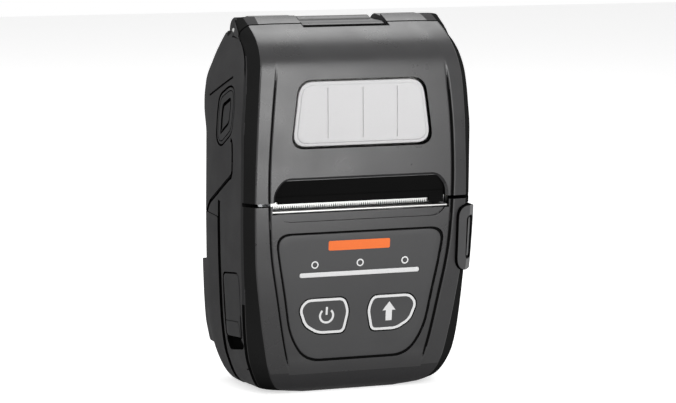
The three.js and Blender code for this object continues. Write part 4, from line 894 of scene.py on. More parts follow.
ground_steel = bare_metal("ground_steel", (0.62, 0.62, 0.61), 0.3, (0.05, 1.0, 1.0))
screws = [(node, *map(middle, span(node))) for node in (f"board_screw_{i}" for i in range(1, 5))]
board = carve(
    eased_box("y", *span("main_board"), 1.2), "DIFFERENCE",
    *[deep_turned([(-FAR, 1.3), (0, 1.3)], x, z) for _, x, _, z in screws])
add_piece("main_board_laminate", board, circuit_board("green_solder_mask"), "root", "board", "main_board")
DOME_PROFILE = [(0.0, 3.0), (-0.1, 2.95), (-0.3, 2.5), (-0.5, 1.75), (-0.65, 0.9), (-0.7, 0.1)]
for node in ("power_dome", "feed_dome"):
    dome_x, dome_y, dome_z = span(node)
    dome = deep_turned([(dome_y[1] + y, radius) for y, radius in DOME_PROFILE], middle(dome_x), middle(dome_z))
    add_piece(f"{node}_snap", dome, ground_steel, "root", "steel", node)


# Board screws: four pan heads with a cross recess, turned in steel and zinc plated. They are driven from the back
# through the board into the pillars.
zinc = bare_metal("zinc_plating", (0.60, 0.60, 0.58), 0.35)
for node, x, _, z in screws:
    foot, head = span(node)[1]
    thread = [(y, 1.0 - 0.2 * (i % 2)) for i, y in enumerate(np.arange(foot + 0.5, head - 1.3, 0.24))]
    screw = deep_turned([
        (foot, 0.2), *thread, (head - 1.2, 1.0), (head - 1.2, 1.8), (head - 1.1, 1.9), (head - 0.75, 1.85),
        (head - 0.3, 1.5), (head - 0.06, 0.9), (head, 0.3)], x, z)
    recess = [block((x - a, x + a), (head - 0.75, head + 1), (z - b, z + b)) for a, b in ((1.05, 0.22), (0.22, 1.05))]
    add_piece(f"{node}_pan_head", carve(screw, "DIFFERENCE", *recess), zinc, "root", "steel", node)


# Charging socket: a shell folded from sheet steel, soldered to the board's back, with a tongue inside. It faces
# the port flap.
socket_x, socket_y, socket_z = span("charging_socket")
socket_room = grown(rectangle(*socket_y, *socket_z), -0.5)
socket = carve(eased_box("x", socket_x, socket_y, socket_z, 1.5), "DIFFERENCE",
               prism("x", rounded(socket_room, 1.1), socket_x[0] - 1, socket_x[1] - 1))
tongue_y = middle(socket_y)
tongue = block((socket_x[0] + 1, socket_x[1] - 0.5), (tongue_y - 0.4, tongue_y + 0.4),
               (socket_z[0] + 1.4, socket_z[1] - 1.4))
add_piece("charging_socket_shell", carve(socket, "UNION", tongue), zinc, "root", "steel", "charging_socket")


# Buzzer: a round can of black plastic with a sound hole in its face, which holds a small diaphragm. It is soldered
# to the board's back.
works_black = moulded_plastic("works_black", (0.022, 0.022, 0.023), 0.5, grain=0.25, depth=0.03)
buzzer_x, buzzer_y, buzzer_z = span("buzzer")
back_y, face_y = buzzer_y
buzzer = deep_turned([
    (back_y, 4.3), (back_y + 0.2, 4.5), (face_y - 0.4, 4.5), (face_y - 0.1, 4.35), (face_y, 4.1), (face_y, 0.95),
    (face_y - 0.15, 0.85), (face_y - 1.4, 0.85)], middle(buzzer_x), middle(buzzer_z))
add_piece("buzzer_can", buzzer, works_black, "root", "dark", "buzzer")


# Paper edge: a plain strip along the lower side of the slot, which the paper runs over. It is cut from stainless
# steel sheet and bonded to the case, with its front edge eased.
stainless = bare_metal("stainless_steel", (0.42, 0.42, 0.41), 0.36, (0.03, 1.0, 1.0))
edge_strip = eased_box("x", *span("paper_edge"), 0.2, 4)
add_piece("paper_edge_strip", edge_strip, stainless, "root", "steel", "paper_edge")


# Mechanism frame: one bent plate of galvanised steel, with a cradle for each bush of the roller and two feet that
# stand on the shelves of the front case.
def turned(profile, y=0.0, z=0.0, count=64):
    """A round piece on an axis across the width: each (x, radius) of the profile becomes a circle."""
    return loft("turned", np.array([np.insert(circle(y, z, radius, count), 0, x, axis=1) for x, radius in profile]))


def spindle(x0, x1, radius, y, z, ease=0.0):
    """A plain cylinder across the width, with its ends eased off by a small chamfer."""
    if not ease:
        return turned([(x0, radius), (x1, radius)], y, z)
    return turned([(x0, radius - ease), (x0 + ease, radius), (x1 - ease, radius), (x1, radius - ease)], y, z)


def both_ends(low, high, side):
    """A range on the right of the middle, or its mirror image on the left, in rising order."""
    return sorted((low * side, high * side))


PLATEN = PLATEN_Y, PLATEN_Z = -10.5, 70.0
FRAME_X = (31.2, 32.8)
FRAME_BACK = (2.7, 3.8)
FRAME_LOW, FRAME_HIGH = 49.4, 75.2
IDLER = (-2.039, 66.651)
ROTOR = (-2.990, 57.601)
LATCH = LATCH_Y, LATCH_Z = -9.4, 52.5
CRADLE_RADIUS = 3.1
SHAFT_BORE = 1.3
AXLE_RADIUS = 1.2
LATCH_PIN_RADIUS = 1.0
PRESS_FIT = 0.02
FOOT_END, FOOT_FRONT, FOOT_THICKNESS = 36.4, -5.6, 1.4
galvanised = bare_metal("galvanised_steel", (0.52, 0.53, 0.55), 0.42)
cheek_line = rounded([
    (PLATEN_Y, 73.6), (FRAME_BACK[1], FRAME_HIGH), (FRAME_BACK[1], FRAME_LOW), (-8.0, FRAME_LOW), (-12.6, 60.0),
    (-12.6, 66.4), (PLATEN_Y, 66.4)], 0.7, 5)
frame_plate = carve(
    block((-FRAME_X[1], FRAME_X[1]), FRAME_BACK, (FRAME_LOW, FRAME_HIGH)), "UNION",
    *[prism("x", cheek_line, *both_ends(*FRAME_X, side)) for side in (-1, 1)],
    *[block(both_ends(FRAME_X[0], FOOT_END, side), (FOOT_FRONT, FRAME_BACK[1]),
            (FRAME_LOW, FRAME_LOW + FOOT_THICKNESS)) for side in (-1, 1)])
frame_plate = carve(
    frame_plate, "DIFFERENCE", spindle(-FAR, FAR, CRADLE_RADIUS, *PLATEN),
    block((-FAR, FAR), (-FAR, PLATEN_Y), (PLATEN_Z - CRADLE_RADIUS, PLATEN_Z + 2 * CRADLE_RADIUS)),
    spindle(0, FAR, AXLE_RADIUS + PRESS_FIT, *IDLER), spindle(0, FAR, SHAFT_BORE, *ROTOR),
    spindle(0, FAR, LATCH_PIN_RADIUS + PRESS_FIT, *LATCH))
add_piece("mechanism_frame_plate", frame_plate, galvanised, "root", "aluminium", "mechanism_frame")


# Motor: a can drawn from sheet steel, with a crimp behind its nose, fixed to the inside of the frame's right
# cheek. Its shaft goes through the cheek and turns the gear train.
motor_x = span("motor")[0]
can = carve(turned([
    (motor_x[0], 4.8), (motor_x[0] + 0.15, 5.2), (motor_x[0] + 0.5, 5.4), (motor_x[1] - 2.4, 5.4),
    (motor_x[1] - 2.25, 5.2), (motor_x[1] - 1.95, 5.2), (motor_x[1] - 1.8, 5.4), (motor_x[1] - 0.3, 5.4),
    (motor_x[1], 5.1)], *ROTOR), "DIFFERENCE", spindle(motor_x[1] - 2, FAR, SHAFT_BORE, *ROTOR))
add_piece("motor_can", can, zinc, "root", "steel", "motor")


# Gear train: a brass pinion on the motor's shaft, an idler of natural nylon on a steel axle, and the roller's gear.
# Their flanks are involutes of a 20 degree pressure angle, cut thin enough to run free.
GEAR_MODULE = 0.7
PRESSURE = radians(20)
GEAR_X = span("platen_gear")[0]
HINGE = HINGE_Y, HINGE_Z = 8.5, 118.0


def gear(teeth, phase, y, z, bore):
    """A spur gear: each flank follows the involute of the base circle from the root to the tip."""
    pitch = teeth * GEAR_MODULE / 2
    base, tip, root = pitch * cos(PRESSURE), pitch + GEAR_MODULE * 0.9, pitch - GEAR_MODULE * 1.25
    radius = np.concatenate([[root], np.linspace(max(base, root), tip, 6)])
    roll = np.arccos(np.clip(base / radius, None, 1))
    away = pi / 2 / teeth - 0.08 / pitch + (tan(PRESSURE) - PRESSURE) - (np.tan(roll) - roll)
    away[0] = away[1] * 1.06
    radii = np.concatenate([radius, radius[::-1]])
    angles = np.concatenate([-away, away[::-1]])
    centre = phase + np.arange(teeth)[:, None] * 2 * pi / teeth
    turn = (centre + angles).ravel()
    line = np.column_stack([y + np.tile(radii, teeth) * np.cos(turn), z + np.tile(radii, teeth) * np.sin(turn)])
    body = prism("x", line, *GEAR_X)
    return carve(body, "DIFFERENCE", spindle(0, FAR, bore, y, z)) if bore else body


departure = atan2(HINGE_Y - PLATEN_Y, HINGE_Z - PLATEN_Z)
idler_phase = pi - departure + pi / 14
slant = radians(-96)
pinion_phase = slant + pi + fmod(slant - idler_phase, pi / 7) * 14 / 12 + pi / 12
nylon = moulded_plastic("natural_nylon", (0.62, 0.60, 0.54), 0.45, grain=0.3, depth=0.01, mottle=0.04, shine=0.3)
brass = bare_metal("machined_brass", (0.66, 0.47, 0.20), 0.3)
pinion = carve(gear(12, pinion_phase, *ROTOR, 0), "UNION", spindle(FRAME_X[0] - 0.02, GEAR_X[0] + 0.9, 1.0, *ROTOR))
add_piece("motor_pinion_brass", pinion, brass, "rotor", "brass", "motor_pinion")
add_piece("idler_gear_nylon", gear(14, idler_phase, *IDLER, 1.35), nylon, "idler", "nylon", "idler_gear")
axle_x = span("idler_axle")[0]
add_piece("idler_axle_pin", spindle(*axle_x, AXLE_RADIUS, *IDLER, 0.2), ground_steel, "root", "steel", "idler_axle")


# Print head: a glazed ceramic strip bonded to a drawn aluminium heat sink, which tilts about its foot. Two coil
# springs behind it press it on the paper.
def glazed_ceramic(name):
    """White alumina with the darker glazed bead of the heating line along its middle."""
    finish = moulded_plastic(name, (0.62, 0.60, 0.55), 0.35, grain=0.2, depth=0.005, mottle=0.03)
    tree = finish.node_tree
    split = add_node(tree, "SeparateXYZ", {0: add_node(tree, "TexCoord", {}).outputs["Object"]})
    line = add_node(tree, "Math", {0: split.outputs["Z"], 1: PLATEN_Z * MM, 2: 0.5 * MM}, operation="COMPARE")
    return recolour(finish, line.outputs[0], (0.62, 0.60, 0.55), (0.10, 0.08, 0.06))


drawn_aluminium = bare_metal("drawn_aluminium", (0.68, 0.69, 0.70), 0.38, (0.02, 1.0, 1.0))
sink_x, sink_y, sink_z = span("heat_sink")
head_x, head_y, head_z = span("print_head")
sink = carve(eased_box("y", head_x, sink_y, sink_z, 0.6), "UNION",
             eased_box("y", sink_x, sink_y, (sink_z[0], sink_z[0] + 2), 0.6))
add_piece("heat_sink_plate", sink, drawn_aluminium, "head", "aluminium", "heat_sink")
strip = eased_box("y", head_x, head_y, head_z, 0.25)
add_piece("print_head_strip", strip, glazed_ceramic("glazed_ceramic"), "head", "ceramic", "print_head")


def coil(x, ends, z, radius, wire, turns):
    """A coil spring: a circle of the wire's radius swept along a helix on an axis along the depth."""
    along = np.linspace(0, 1, turns * 28 + 1)
    angle = along * turns * 2 * pi
    low, high = ends[0] + wire, ends[1] - wire
    line = np.column_stack([x + radius * np.cos(angle), low + (high - low) * along, z + radius * np.sin(angle)])
    ahead = np.gradient(line, axis=0)
    ahead /= np.linalg.norm(ahead, axis=1, keepdims=True)
    out = np.column_stack([np.cos(angle), 0 * angle, np.sin(angle)])
    beside = np.cross(ahead, out)
    turn = np.arange(10)[None, :, None] * 2 * pi / 10
    return loft("coil", line[:, None] + wire * (out[:, None] * np.cos(turn) + beside[:, None] * np.sin(turn)))


for side in ("left", "right"):
    spring_x, spring_y, spring_z = span(f"head_spring_{side}")
    spring = coil(middle(spring_x), spring_y, middle(spring_z), 1.68, 0.3, 3)
    add_piece(f"head_spring_{side}_coil", spring, ground_steel, "head", "steel", f"head_spring_{side}")


# Latch hook: a lever blanked from steel sheet, which holds the roller's shaft down. It turns on a steel pin
# through the frame's right cheek.
hook_shares = ((-0.133, -0.16), (0.133, -0.16), (0.133, 0.2), (-0.173, 0.833), (-0.227, 1), (-0.347, 0.96),
               (-0.307, 0.767))
HOOK_REACH = 15
hook_line = rounded([(LATCH_Y + y * HOOK_REACH, LATCH_Z + z * HOOK_REACH) for y, z in hook_shares], 0.9, 5)
hook = carve(prism("x", hook_line, *span("latch_hook")[0]), "DIFFERENCE",
             spindle(0, FAR, LATCH_PIN_RADIUS + 0.15, *LATCH))
add_piece("latch_hook_plate", hook, zinc, "latch", "steel", "latch_hook")
latch_pin = spindle(*span("latch_pin")[0], LATCH_PIN_RADIUS, *LATCH, 0.15)
add_piece("latch_pin_rod", latch_pin, ground_steel, "root", "steel", "latch_pin")


# Bay wall: a black moulded wall between the works and the battery, with the contact block let into it: four gold
# plated springs side by side.
_, wall_y, wall_z = span("bay_wall")
contact_x, contact_y, contact_z = span("battery_contacts")
wall = carve(block((-FAR, FAR), wall_y, wall_z), "INTERSECT", body_form(SHELL_WALL + FIT_GAP))
wall = carve(wall, "DIFFERENCE", block(
    (contact_x[0] - FIT_GAP, contact_x[1] + FIT_GAP), (0, FAR), (contact_z[0] - FIT_GAP, contact_z[1] + FIT_GAP)))
add_piece("bay_wall_moulding", wall, works_black, "root", "dark", "bay_wall")
gold = bare_metal("gold_plating", (0.85, 0.60, 0.25), 0.25)
contacts = carve(
    block(contact_x, (contact_y[0], contact_y[1] - 0.7), contact_z), "UNION",
    *[eased_box("y", (x - 1.2, x + 1.2), (contact_y[0] + 0.5, contact_y[1]),
                (contact_z[0] + 0.4, contact_z[1] - 0.4), 0.5) for x in (-5.1, -1.7, 1.7, 5.1)])
add_piece("battery_contacts_gold", contacts, gold, "root", "brass", "battery_contacts")


# Roll tray: a curved sheet of black plastic under the paper roll, moulded in one piece. It is held between the
# flanks of the rear case.
ROLL = ROLL_Y, ROLL_Z = 2.3, 95.2
ROLL_RADIUS = 17.6
tray_turn = np.linspace(radians(-104), radians(-30), 40)
tray_line = np.concatenate([
    np.column_stack([ROLL_Y + radius * np.cos(turn), ROLL_Z + radius * np.sin(turn)])
    for radius, turn in ((ROLL_RADIUS + 1.6, tray_turn), (ROLL_RADIUS + 0.4, tray_turn[::-1]))])
tray = carve(prism("x", tray_line, *span("roll_tray")[0]), "INTERSECT", body_form(SHELL_WALL + FIT_GAP))
add_piece("roll_tray_sheet", tray, works_black, "root", "dark", "roll_tray")


# Rear case: the roll housing, with its flanks, the two ears and the middle barrel of the hinge, all one moulding
# in the same charcoal plastic. The straps' holes in its flanks are closed with plugs.
PIN_RADIUS = 1.25
EAR_RADIUS = 4.7
KNUCKLE_RADIUS = 5.1
KNUCKLE_GAP = 0.5
KNUCKLE_X = (15.2, 29.9)
EAR_X = (30.3, 34.2)
BARREL_HALF = 13.0
REAR_TOP = 117.4


def about_hinge(size, shares):
    """An outline about the hinge's axis: each (y, z) share times a size."""
    return [(HINGE_Y + y * size, HINGE_Z + z * size) for y, z in shares]


above_cheek = carve(
    block((-FAR, FAR), (-FAR, FAR), (SLOT_HEIGHT - 20, REAR_TOP)), "DIFFERENCE", below_cheek(-FIT_GAP))
PLUG_POINTS = [
    (level_y(y), SLOT_HEIGHT + z * (BODY_HEIGHT - SLOT_HEIGHT)) for y, z in (
        (0.44, 0.624), (0.345, 0.6115), (0.318, 0.514), (0.345, 0.38), (0.6, 0.281), (0.7, 0.308),
        (0.675, 0.473), (0.65, 0.556))]
PLUG_GAP, PLUG_CORNER, PLUG_POCKET = 0.6, 3, 1.5
EAR_LINE = [(-4.2, 104.6), (4, 101.4), (16.5, 96.3)]
EAR_WIDTH = 0.75
rear_cuts = [
    *[spindle(*both_ends(BARREL_HALF + KNUCKLE_GAP, KNUCKLE_X[1] + 0.25, side), KNUCKLE_RADIUS + KNUCKLE_GAP, *HINGE)
      for side in (-1, 1)],
    *[pocket(prism("x", rounded(grown(PLUG_POINTS, PLUG_GAP), PLUG_CORNER), *both_ends(0, FAR, side)), PLUG_POCKET)
      for side in (-1, 1)],
    *[flank_groove(line, width, side) for side in (-1, 1)
      for line, width in ((EAR_LINE, EAR_WIDTH), (CHEEK_GROOVE, CHEEK_WIDTH))]]
rear = carve(carve(case_shell.copy(), "INTERSECT", above_cheek), "DIFFERENCE", *rear_cuts)
flush_form = body_form(0.2)
ear_root = about_hinge(EAR_RADIUS, ((-0.85, -2.13), (0.85, -2.13), (1, 0), (-1, 0)))
for side in (-1, 1):
    root = carve(prism("x", ear_root, *both_ends(EAR_X[0], EAR_X[1] + SHELL_WALL, side)), "INTERSECT",
                 flush_form.copy())
    rear = carve(rear, "UNION", spindle(*both_ends(*EAR_X, side), EAR_RADIUS, *HINGE, 0.35), root)
barrel_root = about_hinge(12.0, ((0, -0.5), (1, -1), (1, -0.167), (0, 0.25)))
apron = about_hinge(14.0, ((-1, -0.1), (0, -0.3), (0, 0.25), (-1, 0.25)))
rear = carve(
    rear, "UNION", spindle(-BARREL_HALF, BARREL_HALF, EAR_RADIUS, *HINGE, 0.35),
    carve(prism("x", barrel_root, -BARREL_HALF, BARREL_HALF), "INTERSECT", flush_form.copy()),
    carve(prism("x", apron, -14.5, 14.0), "INTERSECT", body_form(0.5)))
rear = carve(rear, "DIFFERENCE", spindle(-FAR, FAR, PIN_RADIUS + FIT_GAP, *HINGE))
dress_shell(add_piece("rear_case_shell", rear, charcoal, "root", "shell", "rear_case"))


# Strap plugs: two charcoal mouldings that close the strap holes, each with a raised rim round a deeper slot. They
# are snapped into the flanks.
PLUG_PROFILE = [
    (0.0, -1.1), (0.0, -0.35), (0.08, -0.18), (0.3, -0.1), (0.95, -0.1), (1.0, -0.5), (1.25, -0.5), (1.3, -0.1),
    (3.5, -0.1), (3.6, -1.0), (4.5, -1.0), (4.6, -0.3)]


def plug_outline(inset):
    """A plug's outline as a function of how far it has moved inwards, its corners easing slowly."""
    return rounded(grown(PLUG_POINTS, -inset), max(PLUG_CORNER - 0.4 * inset, 1.2), 9)


for name, side in (("left", -1), ("right", 1)):
    plug = inlay("plug", plug_outline, on_side(side), PLUG_PROFILE, 4)
    plug_piece = add_piece(f"strap_plug_{name}_cap", plug, rubbery_charcoal, "root", "shell", f"strap_plug_{name}")
    x, y, z, nx, _, _ = face_places(plug_piece)
    deep = side_x(y, z) - np.abs(x)
    # Painted shade: the plug's faces deeper than 0.42 mm under the flank, and its upright walls deeper than 0.25 mm,
    # are black.
    refinish(plug_piece, recess_shade_black, (deep > 0.42) | ((np.abs(nx) < 0.8) & (deep > 0.25)))


# Hinge pin: a rod of ground steel with chamfered ends. It is pushed through the ears, the knuckles and the middle
# barrel, and holds the cover.
PIN_END = EAR_X[1] + 0.5
pin_profile = [(-PIN_END, 0.75), (-PIN_END + 0.3, PIN_RADIUS), (PIN_END - 0.3, PIN_RADIUS), (PIN_END, 0.75)]
add_piece("hinge_pin_rod", turned(pin_profile, *HINGE, 48), ground_steel, "root", "steel", "hinge_pin")


# Cover: the upper front shell over the paper roll, with its corner chamfers in a near-black that paints their shade,
# the window opening, a finger scoop over the slot and two knuckles on the hinge pin.
COVER_TOP_Y = 3.5
SLOT_GAP = 1.2
COVER_FOOT = SLOT_HEIGHT + SLOT_GAP
SCOOP_POINTS = mirrored([(27.2, 73.7), (30.9, 69.2), (31.4, 62.0)])
SCOOP_DEPTH = 3.6
SCOOP_REACH = 2.9
SCOOP_WALL = 2.0
SCOOP_HEIGHT = 73.7
RECESS_FRONT = -6.0
WINDOW_POINTS = mirrored([(21.4, 104.14), (24.1, 83.2)])
WINDOW_CORNER = 5.0
slot_front = front_y(np.array([SLOT_HEIGHT]))[0]
cover = carve(carve(shell.copy(), "INTERSECT", cover_side(0.0, COVER_FOOT)), "DIFFERENCE",
              block((-FAR, FAR), (COVER_TOP_Y, FAR), (SLOT_HEIGHT, FAR * 3)))
scoop_backing = carve(
    prism("y", grown(SCOOP_POINTS, SCOOP_WALL), -FAR, 0), "INTERSECT",
    block((-FAR, FAR), (-FAR, 0), (COVER_FOOT, SCOOP_HEIGHT + SCOOP_WALL)), body_form(0.9))
scoop_backing = carve(scoop_backing, "DIFFERENCE", body_form(SCOOP_DEPTH + SCOOP_WALL))
cover = carve(cover, "UNION", scoop_backing.copy())
knuckle_arm = about_hinge(KNUCKLE_RADIUS, ((-2.8, -0.3), (0, -1), (0, 1), (-0.98, 0.94), (-2.8, 0.42)))
for side in (-1, 1):
    arm = carve(prism("x", knuckle_arm, *both_ends(*KNUCKLE_X, side)), "INTERSECT", flush_form.copy())
    cover = carve(cover, "UNION", arm, spindle(*both_ends(*KNUCKLE_X, side), KNUCKLE_RADIUS, *HINGE, 0.3))
scoop_ramp = prism("x", [
    (-FAR, COVER_FOOT - 1), (slot_front + SCOOP_REACH, COVER_FOOT - 1), (slot_front + SCOOP_REACH, COVER_FOOT + 1.4),
    (slot_front + 2.5, COVER_FOOT + 2.0), (slot_front + 1.6, SCOOP_HEIGHT - 1.5), (-FAR, SCOOP_HEIGHT - 1.5)],
    -FAR, FAR)
scoop_line = shrinking(SCOOP_POINTS, 3.0, 9)
scoop = carve(prism("y", scoop_line(1.3), -FAR, 0), "INTERSECT", scoop_ramp)
scoop_rim = loft("rim", np.array([
    np.column_stack([outline[:, 0], np.full(len(outline), slot_front + deep), outline[:, 1]])
    for outline, deep in ((scoop_line(-0.9), -0.9), (scoop_line(0.0), 0.0), (scoop_line(1.3), 1.3))]))
TEAR_Y = slot_front + SCOOP_DEPTH + FIT_GAP
TEAR_THICKNESS = 0.8
TEAR_HALF = 30.4
cover = carve(
    cover, "DIFFERENCE",
    block((-KNUCKLE_X[0], KNUCKLE_X[0]), (RECESS_FRONT, FAR), (HINGE_Z - 8, FAR * 3)), scoop, scoop_rim,
    block((-TEAR_HALF - FIT_GAP, TEAR_HALF + FIT_GAP), (TEAR_Y - FIT_GAP, TEAR_Y + TEAR_THICKNESS + FIT_GAP),
          (COVER_FOOT - 1, 68.3)),
    prism("y", rounded(grown(WINDOW_POINTS, 0.75), WINDOW_CORNER), -FAR, 0),
    spindle(-FAR, FAR, PIN_RADIUS + FIT_GAP, *HINGE),
    *[pocket(block(both_ends(KNUCKLE_X[0] - 1, FAR, side), (-3.5, -2.8), (REAR_TOP, FAR * 3)), 0.9)
      for side in (-1, 1)])

# The scoop's back wall and a stop at its right end hide all of the tear bar but its teeth.
SCREEN_X, SCREEN_LOW = (-28.2, 29.6), 64.4
STOP_X, STOP_LOW = (24.6, 29.8), 62.9
cover = carve(
    cover, "UNION", block(SCREEN_X, (slot_front + 3.0, slot_front + 3.5), (SCREEN_LOW, COVER_FOOT + 1.0)),
    block(STOP_X, (slot_front + 2.8, slot_front + 3.45), (STOP_LOW, COVER_FOOT + 0.8)))
dress_shell(add_piece("cover_shell_moulding", cover, charcoal, "cover", "shell", "cover_shell"))


# Window: a pane that shows how much paper is left, with a bevelled rim and three upright grooves. It is moulded in
# clear plastic with a frosted face, and bonded into the cover's opening.
frosted = moulded_plastic("frosted_window", (0.66, 0.655, 0.66), 0.5, grain=0.2, depth=0.01, mottle=0.02, shine=0.1)
fill(frosted.node_tree, frosted.node_tree.nodes["Principled BSDF"], {"Transmission Weight": 0.25})
PANE_PROFILE = [
    (0.0, -2.2), (0.0, -0.75), (0.12, -0.55), (0.35, -0.45), (0.95, -0.45), (1.25, -0.15), (1.45, -0.1)]
pane = inlay("pane", shrinking(WINDOW_POINTS, WINDOW_CORNER, 15), on_front, PANE_PROFILE, 14)
PANE_GROOVES = (-12.2, 0.0, 12.0)
pane = carve(pane, "DIFFERENCE", *[
    polyline_band("groove", [(x, z) for z in np.linspace(85.6, 102.0, 24)], 0.62, on_front, 0.5, 0.95)
    for x in PANE_GROOVES])
add_piece("window_pane_frosted", pane, frosted, "cover", "window", "window_pane")


# Tear bar: a strip of stainless steel, its lower edge ground into a row of fine teeth. It is set in a slit in the
# cover's foot.
TEAR_TOP, TEAR_FOOT = 68.0, 62.7
TOOTH_PITCH, TOOTH_HEIGHT = 0.75, 1.3
tooth_count = int(2 * TEAR_HALF / TOOTH_PITCH)
tooth_x = np.linspace(-TEAR_HALF, TEAR_HALF, 2 * tooth_count + 1)
tooth_z = TEAR_FOOT + TOOTH_HEIGHT * (np.arange(len(tooth_x)) % 2 == 0)
tear_outline = [*zip(tooth_x, tooth_z), (TEAR_HALF, TEAR_TOP), (-TEAR_HALF, TEAR_TOP)]
tear_bar = prism("y", tear_outline, TEAR_Y, TEAR_Y + TEAR_THICKNESS)
add_piece("tear_bar_strip", tear_bar, stainless, "cover", "steel", "tear_bar")


# Platen holder: a cross plate behind the cover with an arm at each end of the roller, moulded in black plastic. A
# bush of natural nylon in each arm carries the roller's shaft.
ARM_X = (29.3, 30.9)
BUSH_RADIUS, BUSH_BORE = 2.8, 1.8
HOLDER_FRONT, HOLDER_Z = -19.5, (76.5, 82.0)
holder_shape = rounded([
    (HOLDER_FRONT, 82.0), (HOLDER_FRONT, 76.5), (-13.5, 67.0), (-7.5, 67.0), (-7.5, 73.0), (-14.8, 82.0)], 0.6, 5)
holder_x = span("platen_holder")[0]
plate = carve(block(holder_x, (HOLDER_FRONT, -17.8), HOLDER_Z), "DIFFERENCE", scoop_backing)
holder = carve(plate, "UNION", *[prism("x", holder_shape, *both_ends(*ARM_X, side)) for side in (-1, 1)])
holder = carve(carve(holder, "INTERSECT", body_form(SHELL_WALL + FIT_GAP)), "DIFFERENCE",
               spindle(-FAR, FAR, BUSH_BORE, *PLATEN))
add_piece("platen_holder_plate", holder, works_black, "cover", "dark", "platen_holder")
for side in ("left", "right"):
    bush = carve(spindle(*span(f"platen_bush_{side}")[0], BUSH_RADIUS, *PLATEN, 0.25), "DIFFERENCE",
                 spindle(-FAR, FAR, BUSH_BORE, *PLATEN))
    add_piece(f"platen_bush_{side}_ring", bush, nylon, "cover", "nylon", f"platen_bush_{side}")


# Platen: the roller that pulls the paper, a shaft of ground steel in a sleeve of black rubber. Its nylon gear is
# pressed on the right end.
rubber = moulded_plastic("platen_rubber_black", (0.014, 0.014, 0.015), 0.8, grain=0.3, depth=0.02, shine=0.2)
SHAFT_RADIUS, SLEEVE_RADIUS = 1.5, 4.6
shaft = spindle(*span("platen_shaft")[0], SHAFT_RADIUS, *PLATEN, 0.25)
add_piece("platen_shaft_rod", shaft, ground_steel, "platen", "steel", "platen_shaft")
sleeve = carve(spindle(*span("platen_rubber")[0], SLEEVE_RADIUS, *PLATEN, 0.2), "DIFFERENCE",
               spindle(-FAR, FAR, SHAFT_RADIUS + PRESS_FIT, *PLATEN))
add_piece("platen_rubber_sleeve", sleeve, rubber, "platen", "rubber", "platen_rubber")
platen_gear = gear(12, -departure, *PLATEN, SHAFT_RADIUS + PRESS_FIT)
add_piece("platen_gear_nylon", platen_gear, nylon, "platen", "nylon", "platen_gear")


# Paper roll: a web of thermal paper, wound tightly on a tube of grey card. It lies loose in the tray and turns
# there.
def wound(name, colour, roughness, pitch):
    """Layers wound on the roll's axis: fine rings on the ends, from the distance to the axis."""
    finish = moulded_plastic(name, colour, roughness, grain=0.5, depth=0.01, mottle=0.02, shine=0.15)
    tree = finish.node_tree
    place = add_node(tree, "TexCoord", {}).outputs["Object"]
    centre = add_node(tree, "Mapping", {"Vector": place, "Location": (0.0, -ROLL_Y * MM, -ROLL_Z * MM)})
    rings = add_node(
        tree, "TexWave", {"Vector": centre.outputs["Vector"], "Scale": 0.05 / (pitch * MM)}, wave_type="RINGS",
        rings_direction="X")
    return recolour(finish, rings.outputs["Fac"], colour, [0.86 * c for c in colour])


roll_x = span("paper_roll")[0]
CORE_RADIUS = 7.0
paper = carve(spindle(*roll_x, ROLL_RADIUS, *ROLL, 0.1), "DIFFERENCE", spindle(-FAR, FAR, CORE_RADIUS + 0.15, *ROLL))
add_piece("paper_roll_web", paper, wound("thermal_paper", (0.72, 0.72, 0.69), 0.75, 0.3), "roll", "paper", "paper_roll")
core = carve(spindle(*roll_x, CORE_RADIUS, *ROLL, 0.1), "DIFFERENCE", spindle(-FAR, FAR, 5.6, *ROLL))
add_piece("roll_core_tube", core, wound("grey_card", (0.30, 0.22, 0.14), 0.85, 0.4), "roll", "card", "roll_core")


# Battery pack: the lower back of the printer, a case with a bump over its two cells. It is moulded in the same
# charcoal plastic, and clips on from the back.
BATTERY_BUMP = 4.2
PACK_WALL = 1.6
bump_side = [
    (9.0, 12.2), (22.0, 12.2), (25.0, 14.2), (26.2, 16.6), (26.2, 35.4), (25.4, 38.2), (23.4, 40.4), (9.0, 40.9)]
pack = carve(carve(body_form(0.0, BATTERY_BUMP), "INTERSECT", prism("x", rounded(bump_side, 1.2), -FAR, FAR)),
             "UNION", body_form(0.0))
pack = carve(pack, "INTERSECT", block((-FAR, FAR), (BATTERY_PARTING + FIT_GAP, FAR), (-FAR, PACK_TOP)))
pack_room = carve(body_form(PACK_WALL), "INTERSECT", block((-FAR, FAR), (0, FAR), (-FAR, PACK_TOP - PACK_WALL)))
CATCH_Z = (47.8, 54.6)
CATCH_HALF = 7.4
PACK_MIDDLE = 11
catch_room = pocket(prism("y", rectangle(-CATCH_HALF, CATCH_HALF, *CATCH_Z), PACK_MIDDLE, FAR), 1.2)
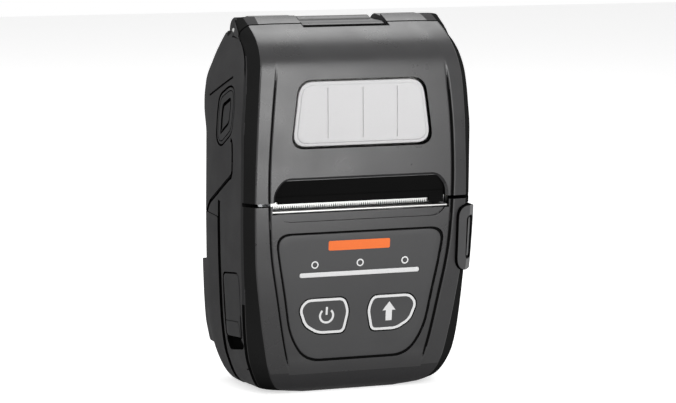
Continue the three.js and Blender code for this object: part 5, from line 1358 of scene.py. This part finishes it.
RIB_COUNT, RIB_PITCH = 5, 1.6
grips = [
    carve(prism("y", rectangle(*both_ends(CATCH_HALF + 3 + i * RIB_PITCH, CATCH_HALF + 3.7 + i * RIB_PITCH, side),
                               48.6, 53.8), PACK_MIDDLE, FAR), "DIFFERENCE", body_form(0.35))
    for side in (-1, 1) for i in range(RIB_COUNT)]
parting_groove = pocket(block((-FAR, FAR), (0, BATTERY_PARTING + 1.0), (-FAR, FAR)), 0.7)
pack = carve(pack, "DIFFERENCE", pack_room, catch_room, parting_groove, *grips)
dress_shell(add_piece("battery_pack_case", pack, charcoal, "battery", "shell", "battery_case"))


# Battery catch: a slide with two grip grooves, moulded in black plastic. It runs in an opening in the pack's back
# and holds the pack to the case.
catch_x, _, catch_z = span("battery_latch")
catch = carve(carve(body_form(-0.4), "DIFFERENCE", body_form(0.9)), "INTERSECT",
              eased_box("y", catch_x, (PACK_MIDDLE, FAR), catch_z, 0.8))
catch = carve(catch, "DIFFERENCE", *[
    carve(block((catch_x[0] + 2, catch_x[1] - 2), (PACK_MIDDLE, FAR), (z - 0.25, z + 0.25)), "DIFFERENCE",
          body_form(0.1))
    for z in (51.5, 53.0)])
add_piece("battery_latch_slide", catch, works_black, "battery_catch", "dark", "battery_latch")


# Battery lid and cells: a flat moulding of black plastic that closes the front of the pack, and two flat cells,
# each in a blue shrink sleeve.
LID_BACK, LID_TOP = 7.9, 54.9
lid_room = block((-FAR, FAR), (BATTERY_PARTING + FIT_GAP, LID_BACK), (0, LID_TOP))
lid = carve(lid_room, "INTERSECT", body_form(PACK_WALL + FIT_GAP))
add_piece("battery_lid_plate", lid, works_black, "battery", "dark", "battery_lid")
sleeve_blue = moulded_plastic("blue_shrink_sleeve", (0.02, 0.10, 0.30), 0.3, grain=0.6, depth=0.02, mottle=0.05)
for side in ("left", "right"):
    cell = eased_box("x", *span(f"battery_cell_{side}"), 3.2, 9)
    add_piece(f"battery_cell_{side}_sleeve", cell, sleeve_blue, "battery", "cell", f"battery_cell_{side}")
